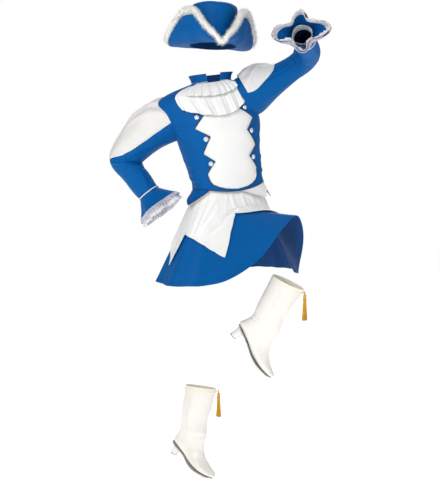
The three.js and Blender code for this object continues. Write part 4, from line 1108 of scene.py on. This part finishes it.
buttonRows = [[1, 30, 298], [2, 32, 214], [3, 33, 120]]   # number, half angle, height
buttonProfile = np.array([
    [0, 0], [7.9, 0], [8.7, 0.5], [9, 1.3], [8.8, 2.2], [8.1, 2.7], [7.5, 2.5], [7.0, 2.9], [6.4, 4.0],
    [5.2, 5.0], [3.6, 5.7], [1.8, 6.0], [0, 6.05],
])


def latheAlong(profile, centre, axis, sides=32):
    # A profile of (radius, height) carried round an axis; its first and last rows close both ends.
    axis = unit(np.asarray(axis, float))
    side = unit(np.cross(axis, (0.3, 0.1, 0.9)))
    ring = circle(side, np.cross(axis, side), 2 * np.pi * around(sides))
    rings = centre + axis * profile[1:-1, 1:, None] + ring * profile[1:-1, :1, None]
    return closedRings(rings, centre + axis * profile[0, 1], centre + axis * profile[-1, 1])


for number, half, height in buttonRows:
    for side, sign in (("right", 1), ("left", -1)):
        s, t = 1 - (90 + sign * half) / 360, height / neck
        button = latheAlong(buttonProfile, moved(jacketShape, s, t, 2.4), normalsOf(jacketShape, s, t))
        points, faces = joinTubes([button])
        name = f"button_{side}_{number}"
        dress(f"{name}_pearl", points, faces, pearl, [name], sharp=40)
print("buttons")

# Basque and turned-back tab.

down = np.array([0.0, 0.0, -1.0])


def outward(angle):
    # The level direction away from the body at an angle round the waist.
    angle = np.asarray(angle, float)
    _, sideways, forward = bodyAxes(np.zeros_like(angle))
    away = sideways * np.cos(rad(angle))[..., None] + forward * np.sin(rad(angle))[..., None]
    away[..., 2] = 0
    return unit(away)


def hanging(first, last, rows):
    # Cloth from the hem, drop long, leaning out by its own angle; both are read at the angle round the
    # waist.
    cut = reader(rows, straight=True)

    def surface(s, t):
        angle = lerp(first, last, s)
        row = cut(angle)
        length = 0.95 + row[..., 0] * t
        lean = rad(row[..., 1])
        return (torso(angle, hemHeight(angle)) + outward(angle) * (length * np.sin(lean))[..., None]
                + down * (length * np.cos(lean))[..., None])
    return surface


# Each tab: its first and last angle, cloth, slot, lining, columns, and rows of angle, length and lean.
tabs = {
    "basque": (136, 386, blueSatin, "blue_satin", whiteSatin, 240, [
        [136, 6, 22], [167, 68, 32], [200, 28, 24], [236, 74, 21], [270, 26, 21], [304, 74, 21],
        [345, 30, 22], [378, 62, 24], [386, 48, 24],
    ]),
    "turnback_left": (28, 84, whiteSatin, "white_satin", None, 60, [
        [28, 22, 30], [52, 56, 36], [84, 4, 34],
    ]),
}
tabEdges, tabStitches = [], []
for name, (first, last, cloth, slot, lining, columns, rows) in tabs.items():
    surface = hanging(first, last, rows)

    def tabRelief(s, t, first=first, last=last):
        return 3.0 * t**3 + smoothStep(t / 0.2) * 0.9 * waves(lerp(first, last, s) * 2.4, 60 * t, 50, 61)
    s = gridSteps(columns, [(row[0] - first) / (last - first) for row in rows])
    walls = surfaceWall(surface, s, np.linspace(0, 1, 22), -1.8, 0.0, tabRelief)
    sew(f"{name}_satin", walls, cloth, lining=lining)
    edge = surface(s, 0.995) + normalsOf(surface, s, 0.9) * 2.1
    tabEdges.append((edge, normalsOf(surface, s, 0.995), 1.2, False))
    # The stitches lie on the cloth's curl, 3 t^3.
    line = surface(s, 0.995 * 0.86) + normalsOf(surface, s, 0.86) * (0.1 + 3.0 * 0.636)
    tabStitches.append((line, normalsOf(surface, s, 0.995 * 0.86), False))
cords("basque_edge_cord", tabEdges[:1], navyPiping)

# Waist seam cord along the jacket's hem.
angle = np.linspace(-180, 180, 420)[:-1]
waistSeam = torso(angle, hemHeight(angle)) + outward(angle) * 1.6 + down * 0.2
cords("jacket_hem_cord", [(waistSeam, outward(angle), 1.5, True)], navyPiping)

# Skirt and overskirt.

skirtCut = {
    "length": 402.0,                 # from the waist to the hem, mm
    "waistHeight": 45.0, "waistInset": 17.0,
    "hipAt": 40.0, "flare": 25.0,
    "creaseAt": 120.0, "liftAngle": 79.0,
    "waveCount": 9, "waveDepth": 9.0,
    "hemFold": 14.0,
}
liftWay = unit(np.array([0.6, -0.8, -0.02]))


def ramp(length, start, softness):
    # A soft version of max(0, length - start).
    past = length - start
    return 0.5 * (past + np.sqrt(past * past + softness * softness))


def lifted(angle):
    # How much of a line of cloth is on the lifted side: exp(-(away / width)^2.1).
    away = ((angle - skirtCut["liftAngle"] + 540) % 360) - 180
    return np.exp(-(np.abs(away / np.where(away > 0, 31, 27)) ** 2.1))


def skirtShape(angle, length, clear):
    # Each line of cloth drops, flares over the hip, and on the lifted side turns forward; waves grow as
    # length^1.5.
    out, lift = outward(angle), lifted(angle)
    flare = math.radians(skirtCut["flare"])
    hip = out * math.sin(flare) + down * math.cos(flare)
    turned = unit(hip * (1 - lift)[..., None] + liftWay * lift[..., None])
    flared = ramp(length, skirtCut["hipAt"], 24) - ramp(0, skirtCut["hipAt"], 24)
    bent = ramp(length, skirtCut["creaseAt"], 34) - ramp(0, skirtCut["creaseAt"], 34)
    wave = skirtCut["waveDepth"] * np.maximum(0, length / skirtCut["length"]) ** 1.5 * (1 - 0.8 * lift)
    ripple = np.cos(rad(angle * skirtCut["waveCount"] + 40)) + 0.35 * np.cos(rad(angle * 4 + 70))
    near = np.clip(np.maximum(0, bent) / 60, 0, 1)
    offset = -skirtCut["waistInset"] + clear * (1 - lift * near) + wave * ripple
    waist = torso(angle, skirtCut["waistHeight"] + 0 * angle) + out * offset[..., None]
    return (waist + down * (length - flared)[..., None] + hip * (flared - bent)[..., None]
            + turned * bent[..., None] + vec(0, 0, clear * lift * near))


def skirtRipple(angle, length):
    # Smaller folds that fall from the hips, shared by the skirt and the overskirt on it.
    grown = smoothStep((length - 60) / 260) * (1 - 0.6 * lifted(angle))
    folds = 1.5 * np.cos(rad(angle * 23 + 30 * np.sin(rad(3 * angle))))
    return grown * (folds + 0.9 * waves(angle * 3, length * 0.25, 70, 71))


def skirtSurface(s, t):
    # The skirt from its hem up, once round.
    return skirtShape(-360 * s, skirtCut["length"] * (1 - t) + 0 * s, 0 * s)


def skirtRelief(s, t):
    # The small folds, and a hem that stands out by its turned-up cloth.
    angle, length = -360 * s, skirtCut["length"] * (1 - t)
    hem = 0.5 * smoothStep((length - (skirtCut["length"] - skirtCut["hemFold"])) / 1.5)
    return skirtRipple(angle, length) + hem


ring = around(320)
hemRows = np.concatenate([np.linspace(0, 0.05, 10)[:-1], np.linspace(0.05, 1, 84)])
walls = surfaceWall(skirtSurface, ring, hemRows, -2.0, -0.2, skirtRelief)
sew("skirt_satin", walls, blueSatin, ring=True,
    lining=blueLiningPaintedShade)
t = (skirtCut["hemFold"] - 2) / skirtCut["length"]
line = moved(skirtSurface, ring, t, skirtRelief(ring, t) - 0.1)
skirtHemStitch = (line, normalsOf(skirtSurface, ring, t), True)

# Length of the overskirt at each angle round the hips: six long points.
overskirtRows = [
    [-34, 300], [-20, 176], [48, 280], [70, 290], [98, 148], [103.5, 178], [109, 222], [115.4, 312],
    [121, 277], [130, 246], [145, 217], [162, 197], [172, 326], [204, 186], [226, 316], [262, 180],
    [280, 316], [326, 300],
]
overskirtEdge = reader(overskirtRows, straight=True)
# Creases of the overskirt. u is the angle times 3 mm, v the length down from the waist.
overskirtFolds = [
    [246, 112, 88, 110, 8, 3.4, 4], [282, 104, 96, 100, 8, 3.0, -4], [316, 100, 80, 110, 8, 3.2, 5],
    [352, 112, 92, 110, 9, 3.0, -4], [230, 150, 20, 90, 9, 3.6, 10], [268, 138, -16, 100, 9, 3.8, -10],
    [300, 142, 12, 90, 9, 3.0, 8], [386, 130, 60, 130, 10, 2.8, 8], [420, 150, 76, 150, 10, 2.6, -8],
    [200, 120, 84, 100, 9, 2.4, 6], [160, 128, 96, 110, 10, 2.2, -6], [450, 190, 88, 160, 11, 2.2, 6],
    [340, 170, 40, 110, 10, 2.4, -8], [600, 140, 86, 150, 11, 2.4, 8], [690, 140, 96, 150, 11, 2.4, -8],
    [780, 140, 84, 150, 11, 2.2, 6], [860, 140, 98, 150, 11, 2.2, -6], [60, 140, 84, 140, 11, 2.2, 6],
    [-40, 150, 98, 140, 11, 2.2, -6],
]


def overskirtPlace(s, t):
    # The angle round the hips and the length down from the waist.
    angle = 326 - 360 * s
    return angle, overskirtEdge(angle)[..., 0] * (1 - t)


def overskirtSurface(s, t):
    # The skirt's own shape, clear of it by 0.9 + gathers + 5.5 mm below the hips.
    angle, length = overskirtPlace(s, t)
    gather = 1.4 * np.exp(-np.maximum(0, length) / 90) * (1 + np.cos(rad(angle * 22)))
    return skirtShape(angle, length, 0.9 + gather + 5.5 * np.clip(length / 100, 0, 1))


def overskirtRelief(s, t):
    # The skirt's small folds, fine gathers at the waist, the drawn creases and a hem.
    angle, length = overskirtPlace(s, t)
    fine = 1 + np.cos(rad(angle * 53 + 40 * np.sin(rad(2 * angle))))
    fine = 0.8 * np.exp(-np.maximum(0, length) / 70) * fine
    folds = np.maximum(creases(angle * 3, length, overskirtFolds, wrap=1080), -1.6)
    hem = 0.35 * smoothStep((0.035 - t) / 0.01)
    return skirtRipple(angle, length) + fine + folds * smoothStep(length / 40) * smoothStep(t / 0.1) + hem


s = gridSteps(330, [(326 - row[0]) / 360 for row in overskirtRows[1:-1]])[:-1]
t = np.concatenate([np.linspace(0, 0.06, 7)[:-1], np.linspace(0.06, 1, 60)])
walls = surfaceWall(overskirtSurface, s, t, 0.0, 1.6, overskirtRelief)
sew("overskirt_satin", walls, whiteSatin, ring=True)
t = 0.03
line = moved(overskirtSurface, s, t, overskirtRelief(s, t) + 1.7)
overskirtStitch = (line, normalsOf(overskirtSurface, s, t), True)
print("skirts")

# Hat.

hatLook = {
    "tilt": -2.0, "roll": 2.0, "yaw": 9.0,   # degrees
    "centre": (4.0, -6.0, 164.0),
    "brimBase": 90.0,
    "furRadius": 17.0,
    "furCore": 9.5,                  # the cord the down is wound on, with its thickest down
    "strands": 15000,
    "curl": 0.16, "droop": 0.12,     # how far a strand bends and falls, in its own lengths
}
# Place up the crown, its half width, half depth and height.
crownAt = reader([
    [0, 88, 104, 0], [1, 87, 102, 45], [2, 87, 101, 90], [3, 88, 101, 130], [4, 80, 92, 149],
    [5, 48, 56, 158], [6, 0, 0, 161],
])

def hatToWorld(points):
    # Turned about x by the tilt, y by the roll and z by the yaw, in that order from the outside in.
    rx, ry, rz = (turnedAbout(axis, hatLook[key]) for axis, key in enumerate(("tilt", "roll", "yaw")))
    return points @ (rx @ ry @ rz).T + np.array(hatLook["centre"])


def crown(s, t):
    # An oval dome: wide cos, deep sin and a height, read up the crown.
    row = crownAt(6 * t)
    return vec(row[..., 0] * np.cos(rad(360 * s)), row[..., 1] * np.sin(rad(360 * s)), row[..., 2])


def brim(s, t):
    # Three sides turned up, three corners out: out and rise go between two values by cos(3 angle)^1.5.
    # The front corner dips.
    angle = 360 * s
    corner = np.maximum(0, (1 + np.cos(rad(3 * (angle - 270)))) / 2) ** 1.5
    front = np.maximum(0, -np.sin(rad(angle))) ** 4
    out, rise = lerp(36, 88, corner), lerp(96, 4 - 10 * front, corner)
    foot = 1 - 0.65 / hatLook["brimBase"]
    away = vec(np.cos(rad(angle)), np.sin(rad(angle)), 0)
    bend = 2 * t * (1 - t)
    base = vec(88 * foot * np.cos(rad(angle)), 104 * foot * np.sin(rad(angle)), 4)
    return base + away * (out * (bend + t * t))[..., None] + vec(0, 0, rise * t * t - 5 * bend)


def domed(name, walls, tips, cloth, replaced, lining):
    # A ringed wall of an outer and an inner grid, each closed by its tip.
    (rows, cols), (outer, inner) = walls[0].shape[:2], walls
    i, n = np.arange(cols), rows * cols
    k, last = (i + 1) % cols, n - cols
    quads = gridQuads(rows, cols, ringCols=True)
    top, rim = np.full(cols, 2 * n), np.stack([k, i, i + n, k + n], -1)
    caps = [np.stack([last + i, last + k, top], -1), np.stack([last + k + n, last + i + n, top + 1], -1)]
    faces = [np.concatenate([quads, quads[:, ::-1] + n, rim]), np.concatenate(caps)]
    groups = np.repeat([0, 1, 0, 0, 1], [len(quads), len(quads), cols, cols, cols])
    points = np.concatenate([outer.reshape(-1, 3), inner.reshape(-1, 3), tips])
    dress(name, points, faces, cloth, replaced, materials=(lining,), groups=groups)


# The crown: four gores with a shallow seam between them, closed at the top.
s, t = np.meshgrid(around(128), gridSteps(60)[:-1])
groove = np.exp(-((((s * 4 + 0.5) % 1) - 0.5) / 0.012) ** 2) * smoothStep((t - 0.05) / 0.1)
puff = 0.8 * waves(360 * s, 160 * t, 90, 81) - 0.9 * groove
walls = [hatToWorld(moved(crown, s, t, puff - depth)) for depth in (0.0, 2.0)]
tips = [hatToWorld(crown(0.0, 1.0) - np.array([0, 0, depth])) for depth in (0.0, 2.0)]
domed("hat_crown_satin", walls, tips, blueSatin, ["hat_crown"], blueLiningPaintedShade)


def brimRelief(s, t):
    # A slow unevenness, and small puckers at the edge.
    pulled = 1.2 * np.cos(2 * np.pi * 42 * s) * np.exp(-(((t - 1) / 0.12) ** 2))
    return smoothStep(t / 0.1) * (1.4 * waves(360 * s, 100 * t, 80, 82) + 0.5 * pulled)


s, t = np.meshgrid(around(240), np.linspace(0.02, 1, 34))
walls = [hatToWorld(moved(brim, s, t, off + brimRelief(s, t))) for off in (2.0, 0.0)]
sew("hat_brim_satin", walls, blueSatin, ring=True)

# Marabou edging: a lumpy core, and strands of down that leave it all round and fall a little.
rng = np.random.default_rng(7)


def furFrame(s):
    # The middle of the fur along the brim's edge, with the brim's way out and the direction across it.
    s = np.asarray(s, float)
    edge = brim(s, 1 + 0 * s)
    out = unit(edge - brim(s, 0.9 + 0 * s))
    return edge + out * (hatLook["furRadius"] + 2.1), out, normalsOf(brim, s, 0.98 + 0 * s)


s, t = np.meshgrid(around(360), around(18), indexing="ij")
centre, out, across = furFrame(s)
lump = hatLook["furCore"] + 1.8 * waves(s * 900, t * 60, 26, 91) + 1.0 * waves(s * 900, t * 60, 9, 92)
core = hatToWorld(centre + circle(out, across, 2 * np.pi * t) * lump[..., None]).reshape(-1, 3)
dress("hat_fur_core", core, [gridQuads(*s.shape, True, True)], marabou, ["hat_fur"])


def strandsOf(name, root, way, length, width, material):
    # Tapering three-sided strands: a root, a bent middle and a tip, seven points each.
    count = len(root)
    bend = unit(rng.normal(size=(count, 3)))
    curl, length = (hatLook["curl"] * length)[:, None], length[:, None]
    middle = root + way * length * 0.5 + bend * curl
    tip = root + way * length + bend * curl * 0.6 + down * length * hatLook["droop"]
    side = unit(np.cross(way, bend))
    ring = circle(side[:, None], np.cross(side, way)[:, None], 2 * np.pi * around(3)) * width[:, None, None]
    points = np.concatenate([root[:, None] + ring, middle[:, None] + ring * 0.7, tip[:, None]], axis=1)
    starts = (np.arange(count) * 7)[:, None, None]
    sides = np.array([[0, 1, 4, 3], [1, 2, 5, 4], [2, 0, 3, 5]]) + starts
    ends = np.array([[3, 4, 6], [4, 5, 6], [5, 3, 6], [2, 1, 0]]) + starts
    faces = [sides.reshape(-1, 4), ends.reshape(-1, 3)]
    dress(name, hatToWorld(points.reshape(-1, 3)), faces, material, sharp=120)


count = hatLook["strands"]
s, t = rng.uniform(0, 1, count), rng.uniform(0, 1, count)
centre, out, across = furFrame(s)
radial = circle(out, across, 2 * np.pi * t)
alongEdge = unit(furFrame(s + 0.002)[0] - furFrame(s - 0.002)[0])
way = unit(radial + alongEdge * rng.normal(0, 0.5, count)[:, None] + rng.normal(0, 0.22, (count, 3)))
length, width = rng.uniform(7, 15.5, count), rng.uniform(0.28, 0.5, count)
strandsOf("hat_fur_down", centre + radial * (hatLook["furCore"] - 2.0), way, length, width, marabou)
print("hat")

# Boots.

bootPlaces = {
    "right": {"at": (-119, -20, -1407), "turn": -40, "pitch": -20, "roll": -11, "flex": -14,
              "tasselAt": 38, "tasselRise": -1, "cordEnd": -0.85},
    "left": {"at": (102, -235, -922), "turn": -8, "pitch": -50, "roll": 0, "flex": -20,
             "tasselAt": 0, "tasselRise": 0, "cordEnd": 0.95},
}
bootLook = {"leather": 2.2, "trimHeight": 9.0, "creaseDepth": 1.0}
# Place, back x and z, front x and z, half width, and how far the section goes with the shaft at the ankle.
bootRows = [
    [0, -60, 282, 62, 292, 55, 1], [1, -58, 240, 60, 246, 54, 1], [2, -56, 195, 57, 203, 52, 1],
    [3, -53, 152, 55, 164, 47, 0.95], [4, -53, 112, 60, 134, 42, 0.5], [5, -59, 80, 66, 104, 36, 0.12],
    [6, -62, 52, 76, 81, 34, 0], [7, -34, 42, 88, 67, 33, 0], [8, 4, 32, 101, 55, 34, 0],
    [9, 46, 16, 118, 44, 37, 0], [10, 88, 8, 140, 35, 36, 0], [11, 128, 8, 162, 28, 25, 0],
    [12, 146, 10, 169, 22, 12, 0], [13, 158, 14, 170, 18, 0, 0],
]
bootAt = reader(bootRows)


def bootSurface(flex):
    # Middle + reach cos(turn) + half sin(turn), the section turned at the ankle by flex * bend.
    def surface(s, t):
        row = bootAt(13 * np.asarray(t, float))
        bend, turn = rad(flex * row[..., 5]), rad(-360 * np.asarray(s, float))
        c, s = np.cos(bend), np.sin(bend)
        first, last = (vec(x * c + (z - 100) * s, 0, (z - 100) * c - x * s + 100)
                       for x, z in ((row[..., 0], row[..., 1]), (row[..., 2], row[..., 3])))
        half = np.maximum(0, row[..., 4]) * np.sin(turn)
        return (first + last) / 2 + (last - first) / 2 * np.cos(turn)[..., None] + vec(0, half, 0)
    return surface


# Creases of a boot. u is degrees round it from the front, v the place along it times 30 mm.
bootFolds = {
    "right": [
        [0, 118, 0, 150, 6, 1.9, 10], [10, 138, 6, 140, 6, 1.7, -8], [350, 158, -8, 140, 7, 1.4, 8],
        [180, 110, 0, 120, 7, 1.6, -8], [190, 132, 4, 120, 7, 1.2, 8], [80, 60, 84, 90, 9, 0.9, 6],
        [280, 50, 96, 90, 9, 0.9, -6], [0, 262, 0, 110, 6, 0.9, 8],
    ],
    "left": [
        [0, 122, 0, 160, 7, 1.6, 10], [180, 116, 0, 150, 6, 2.0, -10], [170, 134, 4, 140, 6, 1.6, 8],
        [270, 126, 20, 120, 7, 1.7, 10], [80, 60, 84, 90, 9, 0.9, 6], [290, 60, 96, 100, 9, 1.0, -6],
        [300, 96, 60, 100, 8, 1.3, 8], [0, 262, 0, 110, 6, 0.8, 8],
    ],
}
# The sole from heel to toe: x, height and half width.
soleAt = reader([
    [-58, 49.5, 20], [-40, 43.5, 26], [-12, 36.3, 25], [20, 26, 25], [52, 14.4, 33], [88, 7.6, 36],
    [120, 7.6, 30], [146, 9.4, 19], [160, 13.6, 6],
])
# The binding's outline: place down the boot, and how far it stands off the leather in mm.
bindingProfile = [
    (0.013, 0.75), (0.013, 0.15), (0.008, 0.1), (0.0, 0.2), (-0.006, -0.4), (-0.006, -1.8), (0.0, -2.5),
    (0.012, -2.6), (0.012, -3.2), (-0.003, -3.2), (-0.011, -2.3), (-0.012, -0.2), (-0.004, 0.9),
    (0.008, 1.0),
]


def borderOf(grid):
    # The four edges of a grid as one ring.
    return np.concatenate([grid[:, 0], grid[-1, 1:-1], grid[::-1, -1], grid[0, -2:0:-1]])


def heelRing(k, grow):
    # A round section at k of the heel's height, its top cut along the sole.
    turn = 2 * np.pi * around(40)
    half = lerp(21, 15, k) - 2.2 * np.sin(np.pi * k) + grow
    x = lerp(-36, -40, k) + half * np.cos(turn) * 0.95
    return vec(x, half * np.sin(turn), lerp(soleAt(x)[:, 0] - 4.9, 0.0, k))


bootStitches, tasselPlaces = [], {}
for side, place in bootPlaces.items():
    surface, matrix = bootSurface(place["flex"]), (
        turnedAbout(2, place["turn"]) @ turnedAbout(1, -place["pitch"]) @ turnedAbout(0, place["roll"])).T

    def toWorld(points):
        # Rolled about x, pitched about y, turned about z, then moved to its place.
        return points @ matrix + np.array(place["at"])
    s, t = np.meshgrid(around(96), np.concatenate([[0.0005], gridSteps(120)[1:-1]]))
    relief = bootLook["creaseDepth"] * creases(360 * s, 390 * t, bootFolds[side], wrap=360)
    ends = smoothStep(t / 0.05) * smoothStep((1 - t) / 0.12)
    relief = (relief + 0.35 * waves(360 * s, 390 * t, 60, 101)) * ends
    leather = np.minimum(bootLook["leather"], 22 * (1.0 - t))
    walls = [toWorld(moved(surface, s, t, by)) for by in (relief, relief - leather)]
    toe = [toWorld(surface(0.0, 1.0) - np.array([depth, 0, 0])) for depth in (0.0, 4.4)]
    nodes = [f"boot_{side}", f"boot_vamp_{side}"]
    # The inside faces take the greyed colour, painted shade of the boot's hollow.
    domed(f"boot_{side}_upper", walls, toe, bootVinyl, nodes, bootInsideShade)

    # Cream binding folded over the rim, wider outside than inside.
    ring = around(144)
    rings = np.stack([moved(surface, ring, t, off) for t, off in bindingProfile[::-1]])
    faces = [gridQuads(len(bindingProfile), 144, True, True)]
    dress(f"boot_{side}_trim", toWorld(rings.reshape(-1, 3)), faces, creamTrim)
    # Stitches: round the binding, up the back, two rows down the outer side, and over the instep.
    back, outside = np.linspace(0.04, 0.46, 160), np.linspace(0.04, 0.44, 160)
    s = np.linspace(0.22, -0.22, 120)
    for s, t, off in ((ring, 0.011, 1.1), (0.5, back, 0.3), (0.25, outside, 0.3), (0.27, outside, 0.3),
                      (s % 1, 0.5 + 0.16 * (np.abs(s) / 0.22) ** 1.5, 0.3)):
        line, normal = toWorld(moved(surface, s, t, off)), normalsOf(surface, s, t) @ matrix
        bootStitches.append((line, normal, s is ring))

    # Sole: a plate that follows the underside, with rounded edges, and a welt line round it.
    x = np.concatenate([np.linspace(-60, 150, 60), np.linspace(153, 163, 8)])
    row = soleAt(x)
    half = row[:, 1] * np.sqrt(np.clip((163.5 - x) / 14, 0, 1)) * np.sqrt(np.clip((x + 63) / 8, 0.05, 1))
    grids = [np.stack([vec(x, half * reach * a, row[:, 0] - drop) for a in np.linspace(-1, 1, 25)], axis=1)
             for drop, reach in ((0.35, 1.0), (1.2, 1.03), (3.2, 1.03), (4.3, 0.97))]
    rings = np.stack([borderOf(grid) for grid in grids])
    n, m = rings.shape[:2]
    points, quads = [rings.reshape(-1, 3)], [gridQuads(n, m, ringCols=True)]
    for grid, level in ((grids[0], 0), (grids[-1], n - 1)):
        first, size = sum(len(p) for p in points), grid.shape[0] * grid.shape[1]
        swap = np.arange(first + size)
        swap[borderOf(first + np.arange(size).reshape(grid.shape[:2]))] = level * m + np.arange(m)
        plate = swap[gridQuads(*grid.shape[:2]) + first]
        quads.append(plate if level == 0 else plate[:, ::-1])
        points.append(grid.reshape(-1, 3))
    points, quads = toWorld(np.concatenate(points)), np.concatenate(quads)
    dress(f"boot_{side}_sole", points, [quads], soleRubber, [f"boot_sole_{side}"], sharp=40)

    # Heel: a waisted block under the back of the sole, with a thin rubber cap.
    for name, steps, cloth, grow, replaced in (
        ("heel", np.linspace(0.0, 0.9, 18), heelCover, 0.0, [f"boot_heel_{side}"]),
        ("heel_cap", np.linspace(0.91, 1.0, 4), soleRubber, 0.3, []),
    ):
        rings = np.stack([heelRing(k, grow) for k in steps])
        points, *faces = closedRings(rings, rings[0].mean(0), rings[-1].mean(0))
        dress(f"boot_{side}_{name}", toWorld(points), faces, cloth, replaced, sharp=40)
    at = 1 - place["tasselAt"] / 360
    rim, knot = (toWorld(moved(surface, at, 0.015, off)) for off in (13.0, place["cordEnd"] + 1.2))
    tasselPlaces[side] = (rim + np.array([0, 0, place["tasselRise"]]), knot)
stitches("boot_stitching", bootStitches, whiteThread, spacing=3.0)
print("boots")

# Tassels.

tasselLook = {"length": 92.0, "strands": 84, "strandRadius": 0.75}
tasselProfile = np.array([
    [0, 14], [1.6, 13.6], [2.4, 12], [2.4, 4], [3.4, 2.4], [5.4, 0.5], [6.1, -3], [5.9, -8], [5.0, -11.5],
    [4.6, -12], [5.8, -12.6], [6.2, -14], [6.1, -16], [5.6, -17.4], [5.0, -17.8], [6.4, -19.5],
    [6.8, -21], [0, -21],
])
for side, (rim, knot) in tasselPlaces.items():
    threads = [latheAlong(tasselProfile, rim, (0, 0, 1), 28)]
    # Binding thread round the top of the tassel, five turns.
    turn = np.linspace(0, 10 * np.pi, 160)
    coil = rim + vec(6.15 * np.cos(turn), 6.15 * np.sin(turn), -12.4 - 4.4 * turn / turn[-1])
    threads.append(tubeAlong(coil, unit(coil - rim - np.array([0, 0, -14])), 0.55, 6))
    # Two-ply cord from the rim of the boot over the tassel's loop.
    k = np.linspace(0, 1, 60)
    way = rim + np.array([0, 0, 12.5]) - knot
    line = knot + way * k[:, None] - down * (2.2 * np.sin(np.pi * k))[:, None]
    aside = unit(np.cross(way, (0, 0, 1.0)))
    above = unit(np.cross(aside, way))
    for phase in (0, np.pi):
        ply = line + 0.75 * circle(aside, above, 8 * np.pi * k + phase)
        threads.append(tubeAlong(ply, np.broadcast_to(above, ply.shape), 0.85, 6))
    # The hanging threads: places on a sunflower's spiral by the golden angle, spread and swaying as they
    # fall.
    count = tasselLook["strands"]
    golden, ringAt = np.arange(count) * 2.399963, np.sqrt((np.arange(count) + 0.5) / count)
    wobble, reach = rng.uniform(0, 2 * np.pi, count), tasselLook["length"] - rng.uniform(0, 7, count)
    z = np.linspace(0, 1, 12)
    for i in range(count):
        spread = lerp(4.6, 9.6, z**0.8) * ringAt[i]
        sway = 0.5 * np.sin(2 * np.pi * z * 1.4 + wobble[i]) * z
        x, y = spread * np.cos(golden[i]) + sway, spread * np.sin(golden[i]) + sway * 0.6
        strand = rim + vec(x, y, lerp(-18.5, -reach[i], z))
        forward = np.broadcast_to([0.0, -1.0, 0.0], strand.shape)
        threads.append(tubeAlong(strand, forward, tasselLook["strandRadius"], 4))
    points, faces = joinTubes(threads)
    dress(f"tassel_{side}_thread", points, faces, goldThread, [f"tassel_{side}"], sharp=60)
print("tassels")

# Sewing.

stitches("jacket_stitching", toothStitches, blueThread)
stitches("basque_stitching", tabStitches[:1], blueThread)
stitches("skirt_hem_stitching", [skirtHemStitch], blueThread)
stitches("overskirt_hem_stitching", [overskirtStitch, tabStitches[1]], whiteThread)
print("sewing")
